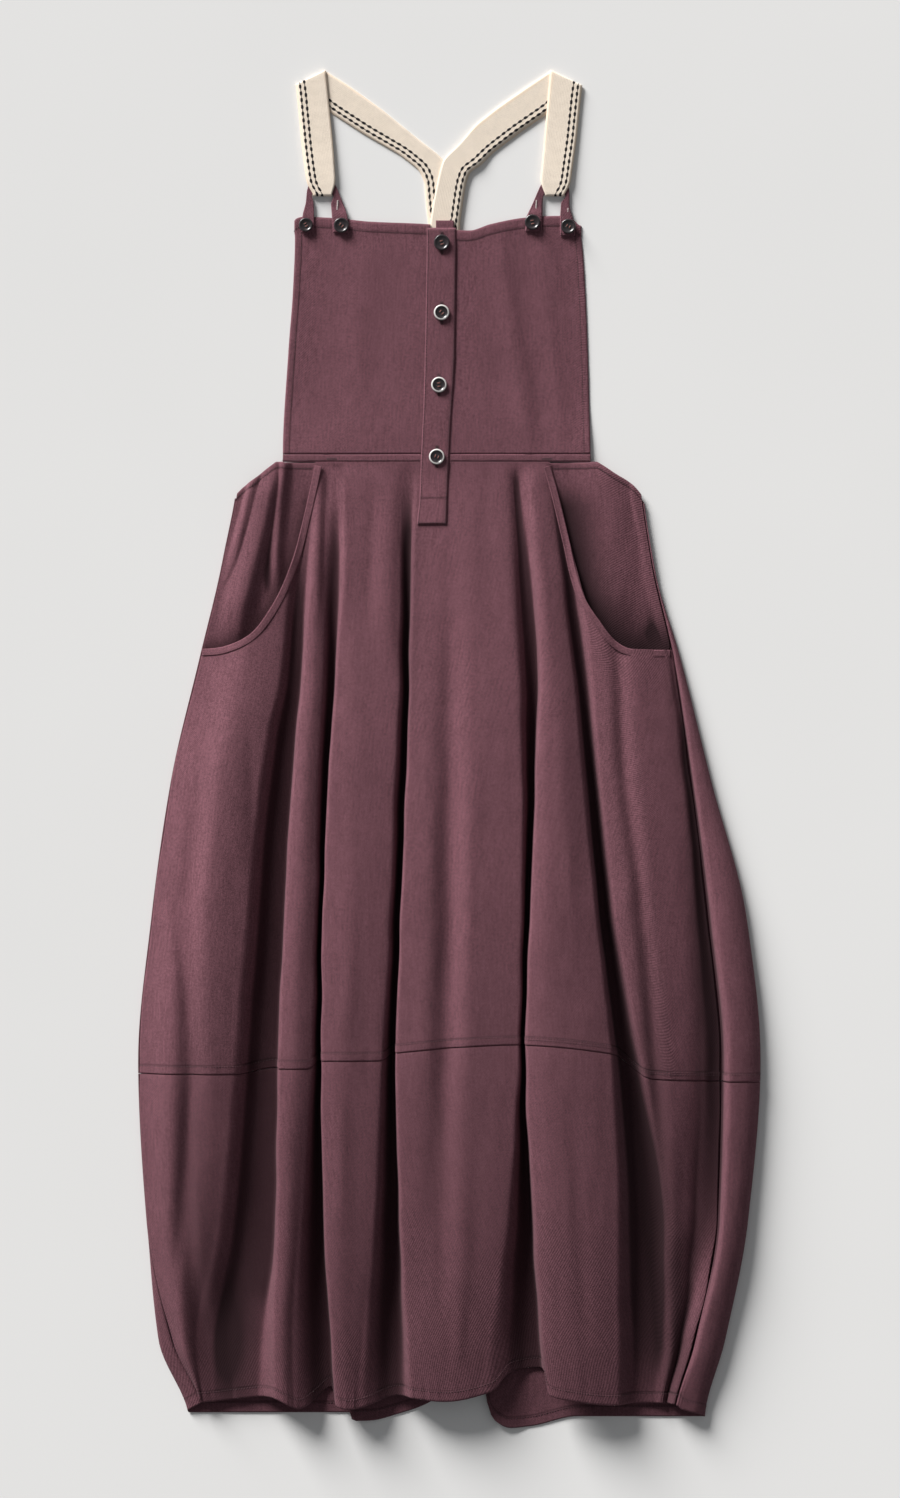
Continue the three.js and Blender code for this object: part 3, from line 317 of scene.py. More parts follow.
# Brace tapes and tabs: both edges at stations along them, as x and rise; a tape's height as well
LOOP_HEIGHT = TAPE_RESTING + 2 * TAPE_STEP
CROSSED = TAPE_RESTING + TAPE + GAP - 0.05
SEWN_ON = CLOTH + GAP + TAPE_RESTING
CROSSED_SEWN_ON = SEWN_ON + TAPE + GAP - 0.05
LEFT_TAPE = {
    "loop": [(-140.5, 286, -116, 286, TAPE_RESTING), (-138, 270, -117.5, 270, TAPE_RESTING)],
    "loop_turn": (-137, 267.5, -118, 267.5, LOOP_HEIGHT),
    "front": [
        (-138, 270, -117.5, 270, LOOP_HEIGHT),
        (-143, 277, -114, 278, LOOP_HEIGHT),
        (-146, 297, -115.5, 300, 3.2),
        (-148.4, 317, -117, 322, 2.5),
        (-152.3, 357, -120.5, 356, 2.25),
    ],
    "top_turn": (-154, 376, -124, 390.5, 2.25),
    "back": [
        (-119, 349, -101, 376, TAPE_RESTING),
        (-85, 327, -67, 351.5, TAPE_RESTING),
        (-50, 307, -32, 323, TAPE_RESTING),
        (-31, 292, -10, 306, TAPE_RESTING),
        (-25.5, 280, 2, 292, TAPE_RESTING),
        (-25, 268, 6, 277, TAPE_RESTING),
        (-23, 248, 8, 252, TAPE_RESTING),
        (-21.5, 238, 9, 238, TAPE_RESTING),
        (-21, 160, 9, 160, TAPE_RESTING),
        (-21, 24, 9, 24, TAPE_RESTING),
        (-21, 2, 9, 2, SEWN_ON),
        (-21, -18, 9, -18, SEWN_ON),
    ],
}
RIGHT_TAPE = {
    "loop": [(121.5, 286, 91, 286, TAPE_RESTING), (116, 270, 94.5, 270, TAPE_RESTING)],
    "loop_turn": (114.5, 267.5, 95, 267.5, LOOP_HEIGHT),
    "front": [
        (116, 270, 94.5, 270, LOOP_HEIGHT),
        (120, 276, 90, 278, LOOP_HEIGHT),
        (123, 297, 92, 300, 3.2),
        (126.5, 322, 94, 322, 2.5),
        (130, 356, 97, 356, 2.25),
    ],
    "top_turn": (132, 375, 100, 390.5, 2.25),
    "back": [
        (96, 347, 78, 376, TAPE_RESTING),
        (67, 327, 49, 356, TAPE_RESTING),
        (42, 308, 26, 338, TAPE_RESTING),
        (30.5, 296, 7.5, 316, CROSSED),
        (20, 290, -7, 303, CROSSED),
        (16, 278, -11, 287, CROSSED),
        (13, 259, -17, 259, CROSSED),
        (10, 238, -20, 239, CROSSED),
        (9, 160, -21, 160, CROSSED),
        (9, 24, -21, 24, CROSSED),
        (9, 2, -21, 2, CROSSED_SEWN_ON),
        (9, -18, -21, -18, CROSSED_SEWN_ON),
    ],
}
TAB_HEIGHT = TAPE_RESTING + TAPE_STEP
LEFT_TAB = [
    (-148.5, 229, -135.5, 229),
    (-148.2, 239, -135.6, 239),
    (-147, 248, -135.8, 248),
    (-144, 259, -136.3, 260),
    (-143, 271, -138.5, 266),
    (-141, 278, -136, 269.2),
    (-129, 280.5, -128, 270),
    (-117, 280, -119, 269.2),
    (-113.5, 275, -116.2, 265.5),
    (-105, 253.4, -119, 258),
    (-102, 244, -118, 246),
    (-101.5, 229, -117, 229),
]
RIGHT_TAB = [
    (125, 226, 110, 226),
    (124.5, 236, 110, 236),
    (122.5, 245, 110, 245),
    (119.4, 255, 111, 259),
    (119.5, 271, 116, 265.5),
    (117, 277, 113.5, 269.2),
    (105, 280.5, 105, 270),
    (92.5, 279.5, 96, 269.2),
    (89.5, 274.3, 93.3, 265.5),
    (83, 259, 92.7, 260),
    (76, 244, 92.4, 246),
    (75, 230, 91.5, 230),
]

# Soft creases pressed in
FRONT_CREASES = [
    ((-121, 12), (-126, 150), -2.6, 6),
    ((-146, 62), (-162, 190), -1.8, 6),
    ((-47, 30), (-49, 190), -1.8, 6),
    ((66, 12), (77, 200), -3.0, 6),
    ((86, 14), (94, 170), 1.2, 7),
    ((106, 24), (128, 190), -2.4, 6),
    ((-107, 20), (-108, 150), 1.2, 6),
    ((34, 20), (40, 130), -0.8, 8),
    ((-272, 420), (-262, 560), -1.6, 7),
    ((-262, 640), (-270, 800), -1.8, 8),
    ((-255, 640), (-246, 790), 1.2, 6),
    ((-80, 40), (-78, 150), -1.6, 9),
    ((0, 200), (2, 520), -1.1, 12),
    ((22, 330), (16, 560), 0.8, 9),
    ((112, 260), (118, 470), 0.7, 8),
    ((-100, 400), (-104, 560), 0.7, 8),
    ((-196, 300), (-190, 520), -0.6, 6),
    ((-20, 640), (-30, 820), -1.1, 10),
    ((12, 700), (6, 860), 0.9, 8),
    ((120, 660), (132, 860), -1.0, 9),
    ((-112, 640), (-108, 760), 0.8, 7),
    ((232, 700), (222, 860), -0.8, 7),
]
BIB_CREASES = [
    ((54, -225), (78, -60), 0.5, 7),
    ((100, -230), (116, -110), 0.45, 6),
    ((-96, -200), (-86, -60), 0.3, 9),
    ((-60, -120), (-40, -20), 0.3, 10),
]


# Interpolation
def mix(a, b, t):
    return a + (b - a) * t


def even(t):
    return t


def squared(t):
    return t * t


def soften(t):
    t = np.clip(t, 0, 1)
    return t * t * (3 - 2 * t)


def close_to(distance, reach, ease):
    """1 beside an edge, fading to 0 at its reach."""
    return soften((reach - distance) / ease)


def crown(t):
    return np.sin(t * np.pi / 2)


def gentle_crown(t):
    return 0.45 * crown(t) + 0.55 * soften(t)


def brow(t):
    return 1 - np.cos(t * np.pi / 2)


def bell(offset):
    return np.exp(-offset * offset)


def follow(values, at, stations=LEVELS):
    """Smooth value that keeps to the given ones and never overshoots them."""
    s = np.asarray(stations, float)
    v = np.asarray(values, float)
    rate = np.diff(v) / np.diff(s)
    slope = np.zeros(len(v))
    product = rate[:-1] * rate[1:]
    total = np.where(product > 0, rate[:-1] + rate[1:], 1)
    slope[1:-1] = np.where(product > 0, 2 * product / total, 0)
    at = np.clip(at, s[0], s[-1])
    k = np.clip(np.searchsorted(s, at, side="left") - 1, 0, len(s) - 2)
    span = s[k + 1] - s[k]
    t = (at - s[k]) / span
    return (
        v[k] * (2 * t**3 - 3 * t**2 + 1)
        + slope[k] * span * (t**3 - 2 * t**2 + t)
        + v[k + 1] * (3 * t**2 - 2 * t**3)
        + slope[k + 1] * span * (t**3 - t**2)
    )


def on_curve(curve, at):
    return follow([p[1] for p in curve], at, [p[0] for p in curve])


def noise(x, y, seed):
    """Smooth repeatable unevenness from -1 to 1, one lump to each unit of x and y."""
    lattice = np.random.default_rng(seed).random((256, 256)) * 2 - 1
    x, y = np.broadcast_arrays(np.asarray(x, float) + 300, np.asarray(y, float) + 300)
    i, j = np.floor(x).astype(int), np.floor(y).astype(int)
    u, v = soften(x - i), soften(y - j)
    a, b = lattice[i & 255, j & 255], lattice[(i + 1) & 255, j & 255]
    c, d = lattice[i & 255, (j + 1) & 255], lattice[(i + 1) & 255, (j + 1) & 255]
    return mix(mix(a, b, u), mix(c, d, u), v)


def creased(creases, x, drop):
    """Height that the listed creases add at each place."""
    total = np.zeros(np.broadcast(x, drop).shape)
    for (x0, y0), (x1, y1), height, width in creases:
        along = (drop - y0) / (y1 - y0)
        bow = 3 * np.sin(along * 2.4 + x0)
        fade = soften((along + 0.25) / 0.4) * soften((1.25 - along) / 0.4)
        total += height * fade * bell((x - mix(x0, x1, along) - bow) / width)
    return total


def to_metres(x, drop, z):
    return np.stack(np.broadcast_arrays((x + ORIGIN_X) * MM, (ORIGIN_Y - drop) * MM, z * MM), axis=-1)


def meeting(x_at, curve, count, lowest, rounds):
    """Drop at which each of some columns comes to a curve across the garment."""
    high, low = np.zeros(count), np.full(count, float(lowest))
    for _ in range(rounds):
        middle = (high + low) / 2
        above = middle < curve(x_at(middle))
        high, low = np.where(above, middle, high), np.where(above, low, middle)
    return (high + low) / 2


# Sections of the skirt, followed from the waist down
class Columns:
    """Columns of cloth that keep to the same place of the same fold at every drop."""

    def __init__(self, stops, troughs, spacing, rounding):
        self.drops = np.arange(0, LOWEST + DROP_STEP, DROP_STEP, dtype=float)
        rows = stops(self.drops)
        fine = np.arange(24) / 24
        dense_x = []
        dense_z = []
        for (x0, z0, ease_x, ease_z), (x1, z1, _, _) in zip(rows, rows[1:]):
            dense_x += [mix(x0, x1, ease_x(t)) for t in fine]
            dense_z += [mix(z0, z1, ease_z(t)) for t in fine]
        dense_x = np.array(dense_x + [rows[-1][0] + 0 * self.drops]).T
        dense_z = np.array(dense_z + [rows[-1][1] + 0 * self.drops]).T
        dense_z = dense_z - troughs(dense_x, self.drops[:, None])
        steps = np.hypot(np.diff(dense_x), np.diff(dense_z))
        arc = np.concatenate([np.zeros((len(self.drops), 1)), np.cumsum(steps, axis=1)], axis=1)
        stop_arc = arc[:, :: len(fine)]
        places = []
        self.span_of = []
        for k in range(stop_arc.shape[1] - 1):
            count = max(1, math.ceil(np.max(stop_arc[:, k + 1] - stop_arc[:, k]) / spacing(k)))
            for j in range(count):
                places.append(mix(stop_arc[:, k], stop_arc[:, k + 1], j / count))
                self.span_of.append(k)
        places.append(stop_arc[:, -1])
        self.span_of = np.array(self.span_of + [self.span_of[-1]])
        places = np.array(places).T
        self.arc = places
        self.x = np.empty_like(places)
        self.z = np.empty_like(places)
        for r in range(len(self.drops)):
            even_arc, x, z = rounded(arc[r], dense_x[r], dense_z[r], rounding)
            self.x[r] = np.interp(places[r], even_arc, x)
            self.z[r] = np.interp(places[r], even_arc, z)

    def at(self, drop):
        """Place and height of every column, each at its own drop."""
        level = np.clip(drop / DROP_STEP, 0, len(self.drops) - 1.001)
        row = level.astype(int)
        share = level - row
        column = np.arange(self.x.shape[1])
        x = mix(self.x[row, column], self.x[row + 1, column], share)
        z = mix(self.z[row, column], self.z[row + 1, column], share)
        return x, z

    def meets(self, curve):
        """Drop at which each column comes to a curve across the garment."""
        return meeting(lambda drop: self.at(drop)[0], curve, self.x.shape[1], LOWEST, 26)

    def height(self, x, drop):
        """Height of the cloth over single places."""
        x, drop = np.broadcast_arrays(x, drop)
        found = np.empty(x.shape)
        for place in np.ndindex(x.shape):
            level = min(max(drop[place] / DROP_STEP, 0), len(self.drops) - 1.001)
            row = int(level)
            ends = [np.interp(x[place], self.x[r], self.z[r]) for r in (row, row + 1)]
            found[place] = mix(ends[0], ends[1], level - row)
        return found


def rounded(arc, x, z, radius):
    """The same section at even steps, with its corners rounded off."""
    step = 0.7
    even_arc = np.linspace(0, arc[-1], max(8, int(arc[-1] / step)))
    reach = int(3 * radius / step)
    weights = bell(np.arange(-reach, reach + 1) * step / (radius * math.sqrt(2)))
    weights /= weights.sum()
    smooth = []
    for values in (x, z):
        line = np.interp(even_arc, arc, values)
        before = 2 * line[0] - line[reach:0:-1]
        after = 2 * line[-1] - line[-2 : -reach - 2 : -1]
        smooth.append(np.convolve(np.concatenate([before, line, after]), weights, mode="valid"))
    return even_arc, smooth[0], smooth[1]


def front_stops(drop):
    rows = []
    crests = [follow(ridge["crest"], drop) for ridge in RIDGES]
    start = follow(OUTLINE["left_seam"], drop)
    start_height = follow(OUTLINE["left_seam_height"], drop)
    for k, ridge in enumerate(RIDGES):
        last = k == len(VALLEYS)
        end = follow(OUTER_RIGHT_EDGE if last else VALLEYS[k]["roll"], drop)
        rows.append((start, start_height, even, crown if k else gentle_crown))
        rows.append((mix(start, end, ridge["place"]), crests[k], even, brow))
        rows.append((end, crests[k] * ridge["fall"], even, soften))
        if not last:
            valley = VALLEYS[k]
            rim = np.minimum(crests[k] * ridge["fall"], crests[k + 1] * EDGE_SHARE)
            floor_height = mix(rim, follow(valley["low"], drop), follow(valley["depth"], drop))
            floor, edge = follow(valley["floor"], drop), follow(valley["edge"], drop)
            foot = np.maximum(floor + FLOOR_WIDTH, edge - follow(valley["run"], drop))
            rows.append((floor, floor_height, even, soften))
            rows.append((foot, floor_height, even, brow))
            start, start_height = edge, crests[k + 1] * EDGE_SHARE
    seam = follow(OUTLINE["right_seam"], drop)
    height = follow(OUTLINE["right_seam_height"], drop)
    rows.append((seam - SEAM_FLAT, height, even, even))
    rows.append((seam, height, even, even))
    return rows


def summed(table, column, x, drop):
    """One column of a table of places, each place fading out over its width."""
    return sum(
        follow(place[column], drop) * bell((x - follow(place["x"], drop)) / place["width"]) for place in table
    )


def trough_depth(x, drop):
    return summed(TROUGHS, "depth", x, drop)


def back_stops(drop):
    """From the right seam over the side ridge, under the skirt and up to the left seam."""
    left, right = follow(OUTLINE["left"], drop), follow(OUTLINE["right"], drop)
    seam = follow(OUTLINE["right_seam"], drop) + SIDE_GAP
    height = follow(OUTLINE["right_seam_height"], drop)
    ridge = follow(BACK_RIDGE, drop)
    crest_x = mix(seam, right, 0.2)
    flat_end = seam + np.minimum(SEAM_FLAT, (crest_x - seam) / 3)
    roll_inset, roll_height = SIDE_ROLL[-1]
    rows = [
        (seam, height, even, even),
        (flat_end, height, squared, crown),
        (crest_x, ridge, crown, brow),
    ]
    rows += [(right - inset, z + 0 * drop, even, even) for inset, z in reversed(SIDE_ROLL)]
    flat = RESTING + 0 * drop
    for tuck in reversed(BACK_TUCKS):
        lift = tuck["height"] * soften((drop - TUCK_DROPS[0]) / (TUCK_DROPS[1] - TUCK_DROPS[0]))
        x, reach = tuck["x"] + 0 * drop, tuck["reach"]
        rows += [
            (x + reach + TUCK_REST, flat, even, even),
            (x + reach, flat, even, even),
            (x + reach * TUCK_SLOPE, flat + lift * (1 - TUCK_SLOPE), even, even),
            (x, flat + lift, even, even),
            (x - TUCK_FOLD, flat, even, even),
            (x - TUCK_REST, flat, even, even),
        ]
    rows.append((mix(left, BACK_TUCKS[0]["x"], 0.5), flat, even, even))
    rows += [(left + inset, z + 0 * drop, even, even) for inset, z in SIDE_ROLL]
    seam = follow(OUTLINE["left_seam"], drop) - 2 * GAP
    height = follow(OUTLINE["left_seam_height"], drop) - 2 * GAP
    rows.append((mix(left + roll_inset, seam, 0.5), mix(roll_height, height, 0.6), even, even))
    rows.append((seam, height, even, even))
    return rows


def banded(tops, bottoms, rows, band, band_rows):
    """Drops of a panel's rows, closer together at its top edge and in the band along its lower one."""
    shares = np.insert(np.linspace(0, 1, rows - 1), 1, RIM_SHARE)[:, None]
    body = tops + (bottoms - band - BAND_SLOPE - tops) * shares
    return np.concatenate([body, bottoms - band + band * np.linspace(0, 1, band_rows)[:, None]])


def edge_roll(from_edge):
    """How far a folded edge has rolled down, 1 at the edge."""
    return (1 - np.clip(from_edge / EDGE_REACH, 0, 1)) ** 2


def band_profile(from_edge, band):
    """Raise of a folded band: up over its slope, drawn in at its stitching and rolled at its edge."""
    step = close_to(from_edge, band + BAND_SLOPE, BAND_SLOPE)
    stitching = bell((from_edge - band) / 0.9)
    return BAND_RAISE * step - 0.4 * stitching - 0.45 * edge_roll(from_edge)


def stitch_shade(from_edge, band):
    """Painted shade in the groove that stitching draws in: a negative value that darkens the cloth."""
    return -0.55 * bell((from_edge - band) / 0.8)


def sunk(z, left_wall, right_wall, reach=40):
    """How deep each place lies between the folds to its left and right, from 0 to 1."""
    rows, columns = z.shape
    margin = np.zeros((rows, reach))
    padded = np.concatenate([left_wall + margin, z, right_wall + margin], axis=1)
    left, right = z, z
    for k in range(1, reach + 1):
        left = np.maximum(left, padded[:, reach - k : reach - k + columns])
        right = np.maximum(right, padded[:, reach + k : reach + k + columns])
    rim = np.maximum(np.minimum(left, right), z)
    return 1 - z / np.maximum(rim, 1)


def fold_shade(deep):
    """Painted shade for cloth deep in a fold: a negative value that darkens the cloth."""
    return -FOLD_SHADE * soften((deep - 0.22) / 0.5)


def front_shade(x, drop, z):
    """Painted shade of the front as negative values: in its folds and in the hollows beside them."""
    return fold_shade(sunk(z, 0, follow(BACK_RIDGE, drop[:, -1:]))) - summed(HOLLOWS, "painted_shade", x, drop)


def puckers(arc, seed, pitch=5.5):
    """Uneven gathers that a line of stitching leaves across it."""
    wide = noise(arc / pitch, 0.5, seed)
    narrow = noise(arc / (pitch * 0.45), 0.5, seed + 1)
    strength = 0.6 + 0.4 * noise(arc / 40, 0.5, seed + 2)
    return (0.7 * wide + 0.4 * narrow) * strength


def normals_of(grid):
    down = np.gradient(grid, axis=0)
    across = np.gradient(grid, axis=1)
    normal = np.cross(down, across)
    return normal / np.maximum(np.linalg.norm(normal, axis=-1, keepdims=True), 1e-12)


# Meshes
def placed(name, data):
    item = bpy.data.objects.new(name, data)
    bpy.context.scene.collection.objects.link(item)
    return item


def thinned(count, stride):
    kept = list(range(0, count - 1, stride))
    return kept + [count - 1]


def shell(name, grid, thickness, relief=0.0, wear_and_shade=0.0, stride=(1, 1)):
    """Closed cloth shell round a grid of middle points in metres; its inside may be coarser.

    relief is raised on the outside, in millimetres. Returns the object and the outside's points."""
    rows, columns = grid.shape[:2]
    normal = normals_of(grid)
    relief = np.broadcast_to(relief, (rows, columns))
    outer = grid + normal * ((thickness / 2 + relief) * MM)[..., None]
    inner = grid - normal * (thickness / 2 * MM)
    keep_rows, keep_columns = thinned(rows, stride[0]), thinned(columns, stride[1])
    inner = inner[np.ix_(keep_rows, keep_columns)]
    base = rows * columns
    a = np.arange(base).reshape(rows, columns)
    b = base + np.arange(inner.shape[0] * inner.shape[1]).reshape(inner.shape[:2])
    quads = np.stack([a[:-1, :-1], a[1:, :-1], a[1:, 1:], a[:-1, 1:]], axis=-1).reshape(-1, 4)
    under = np.stack([b[:-1, :-1], b[:-1, 1:], b[1:, 1:], b[1:, :-1]], axis=-1).reshape(-1, 4)
    faces = quads.tolist() + under.tolist()
    for k, (i0, i1) in enumerate(zip(keep_rows, keep_rows[1:])):
        faces.append([b[k, 0], b[k + 1, 0]] + a[i0 : i1 + 1, 0][::-1].tolist())
        faces.append([b[k + 1, -1], b[k, -1]] + a[i0 : i1 + 1, -1].tolist())
    for k, (j0, j1) in enumerate(zip(keep_columns, keep_columns[1:])):
        faces.append([b[0, k + 1], b[0, k]] + a[0, j0 : j1 + 1].tolist())
        faces.append([b[-1, k], b[-1, k + 1]] + a[-1, j0 : j1 + 1][::-1].tolist())
    points = np.concatenate([outer.reshape(-1, 3), inner.reshape(-1, 3)])
    mesh = bpy.data.meshes.new(name)
    mesh.from_pydata(points.tolist(), [], faces)
    along = np.concatenate([np.zeros((1, columns)), np.cumsum(lengths(grid, 0), axis=0)])
    across = np.concatenate([np.zeros((rows, 1)), np.cumsum(lengths(grid, 1), axis=1)], axis=1)
    cut = np.stack([across, along], axis=-1)
    cut = np.concatenate([cut.reshape(-1, 2), cut[np.ix_(keep_rows, keep_columns)].reshape(-1, 2)])
    layer = mesh.uv_layers.new(name="cut")
    loops = np.empty(len(mesh.loops), dtype=np.int32)
    mesh.loops.foreach_get("vertex_index", loops)
    layer.data.foreach_set("uv", cut[loops].astype(np.float32).ravel())
    # This attribute holds paler wear where positive and painted shade where negative
    worn = np.broadcast_to(wear_and_shade, (rows, columns))
    worn = np.concatenate([worn.ravel(), worn[np.ix_(keep_rows, keep_columns)].ravel()])
    attribute = mesh.attributes.new("wear_and_shade", "FLOAT", "POINT")
    attribute.data.foreach_set("value", np.ascontiguousarray(worn, dtype=np.float32))
    cloth_faces = len(quads) + len(under)
    mesh.polygons.foreach_set("use_smooth", [k < cloth_faces for k in range(len(mesh.polygons))])
    mesh.update()
    return placed(name, mesh), outer


def lengths(grid, axis):
    return np.linalg.norm(np.diff(grid, axis=axis), axis=-1)


def cloth_piece(piece, material, node):
    """Dresses a finished sheet of cloth, attaches it to the root and hides the imported part of the node that
    it stands for.
    """
    piece.data.materials.append(material)
    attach(piece, "root")
    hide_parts(node)


# Materials
def linear(colour):
    """Display colour, 0 to 1, as the renderer's linear one."""
    low = [c / 12.92 if c <= 0.04045 else ((c + 0.055) / 1.055) ** 2.4 for c in colour[:3]]
    return (*low, 1.0)


def tint(colour, share):
    return (*[c * share for c in colour[:3]], 1)


def new_material(name):
    material = bpy.data.materials.get(name)
    if material:
        return material, None
    material = bpy.data.materials.new(name)
    material.use_nodes = True
    material.node_tree.nodes.clear()
    return material, Maker(material.node_tree)


class Maker:
    """Short way to add and link shader nodes."""

    def __init__(self, tree):
        self.tree = tree

    def add(self, kind, inputs=(), **settings):
        node = self.tree.nodes.new(kind)
        for key, value in settings.items():
            setattr(node, key, value)
        for key, value in dict(inputs).items():
            self.put(node, key, value)
        return node

    def put(self, node, key, value):
        socket = node.inputs[key]
        if isinstance(value, bpy.types.NodeSocket):
            self.tree.links.new(value, socket)
        else:
            socket.default_value = value

    def math(self, operation, a, b=0.0, c=0.0, clamp=False):
        node = self.add("ShaderNodeMath", {0: a, 1: b, 2: c}, operation=operation, use_clamp=clamp)
        return node.outputs[0]

    def noise(self, vector, scale, detail=2.0, rough=0.5):
        inputs = {"Vector": vector, "Scale": scale, "Detail": detail, "Roughness": rough}
        return self.add("ShaderNodeTexNoise", inputs).outputs["Fac"]

    def blend(self, factor, a, b):
        node = self.add("ShaderNodeMix", data_type="RGBA", blend_type="MIX", clamp_factor=True)
        self.put(node, 0, factor)
        self.put(node, 6, a)
        self.put(node, 7, b)
        return node.outputs[2]

    def ramp(self, factor, *stops):
        node = self.add("ShaderNodeValToRGB", {"Fac": factor})
        ramp = node.color_ramp
        while len(ramp.elements) < len(stops):
            ramp.elements.new(0.5)
        for element, (position, colour) in zip(ramp.elements, stops):
            element.position = position
            element.color = colour
        return node.outputs["Color"]

    def level(self, factor, *stops):
        """Ramp of grey values from pairs of position and value."""
        return self.ramp(factor, *[(p, (v, v, v, 1)) for p, v in stops])

    def bump(self, strength, distance, height):
        inputs = {"Strength": strength, "Distance": distance, "Height": height}
        return self.add("ShaderNodeBump", inputs).outputs[0]

    def finish(self, inputs):
        shader = self.add("ShaderNodeBsdfPrincipled", inputs)
        self.add("ShaderNodeOutputMaterial", {"Surface": shader.outputs[0]})


# Distance below the middle in metres, and how much painted shade darkens the cloth there
HEM_SHADE = [(0.14, 0.0), (0.62, 0.37)]


def twill_material(colours):
    """Washed cotton twill: fuzzy grain, soft mottling, fine diagonal and paler worn edges, with painted shade
    in folds, along stitching and towards the hem.
    """
    material, m = new_material("washed_twill")
    if m is None:
        return material
    base = linear(colours.cloth)
    dark = tint(base, 0.62)
    pale = tint(base, 1.42)
    worn = (base[0] * 1.6, base[1] * 1.62, base[2] * 1.62, 1)
    place = m.add("ShaderNodeTexCoord").outputs["Object"]
    grain = m.noise(place, 1000, 2.0, 0.6)
    lumps = m.noise(place, 480, 2.0, 0.6)
    cloud = m.noise(place, 42, 3.0, 0.6)
    cut = m.add("ShaderNodeUVMap", uv_map="cut").outputs["UV"]
    lines = m.add(
        "ShaderNodeTexWave",
        {"Vector": cut, "Scale": 240.0, "Distortion": 1.2, "Detail": 1.0, "Detail Scale": 2.0},
        wave_type="BANDS", bands_direction="DIAGONAL",
    ).outputs["Fac"]
    drawn = m.add("ShaderNodeVectorMath", {0: cut, 1: (1.0, 0.09, 1.0)}, operation="MULTIPLY").outputs[0]
    slubs = m.noise(drawn, 520, 2.0, 0.6)
    mottle = m.math("MULTIPLY_ADD", grain, 0.45, m.math("MULTIPLY", lumps, 0.3))
    mottle = m.math("MULTIPLY_ADD", slubs, 0.25, mottle)
    mottle = m.math("MULTIPLY_ADD", m.math("SUBTRACT", lines, 0.5), 0.05, mottle)
    mottle = m.math("MULTIPLY_ADD", m.math("SUBTRACT", cloud, 0.5), 0.08, mottle)
    colour = m.ramp(mottle, (0.36, dark), (0.5, base), (0.64, pale))
    # Positive values of this attribute pale worn cloth; negative values are painted shade
    wear_and_shade = m.add("ShaderNodeAttribute", attribute_name="wear_and_shade").outputs["Fac"]
    ragged = m.math("MULTIPLY", wear_and_shade, m.level(lumps, (0.3, 0.35), (0.65, 1.0)))
    colour = m.blend(ragged, colour, worn)
    # Painted shade: the cloth darkens towards the hem, standing in for light that falls off lower down
    toward_hem = m.add("ShaderNodeSeparateXYZ", {"Vector": place}).outputs["Y"]
    toward_hem = m.level(m.math("MULTIPLY", toward_hem, -1.0), *HEM_SHADE)
    colour = m.blend(toward_hem, colour, tint(base, 0.3))
    # Painted shade where the attribute is negative: darker cloth in folds, beside them, along stitching and
    # by the pocket mouths
    shade_share = m.math("MULTIPLY", wear_and_shade, -1.0, clamp=True)
    colour = m.blend(shade_share, colour, tint(base, 0.16))
    height = m.math("MULTIPLY_ADD", grain, 0.6, m.math("MULTIPLY", lumps, 0.4))
    height = m.math("MULTIPLY_ADD", slubs, 0.35, height)
    height = m.math("MULTIPLY_ADD", lines, 0.35, height)
    bump = m.bump(0.75, 0.0005, height)
    rough = m.level(mottle, (0.25, 0.98), (0.75, 0.86))
    m.finish({
        "Base Color": colour,
        "Roughness": rough,
        "Specular IOR Level": 0.12,
        "Sheen Weight": 0.03,
        "Sheen Roughness": 0.55,
        "Sheen Tint": (0.9, 0.72, 0.76, 1),
        "Normal": bump,
    })
    return material


# Metres across the tape: its width, the two rows of dashes, and half a dash's width
TAPE_WIDTH = 0.0315
DASH_ROWS = (0.0044, 0.0092)
DASH_HALF = 0.0013
RIB_PITCH = 0.0011
CORD_PITCH = 0.0016
DASH_BLACK = (0.012, 0.01, 0.012, 1)


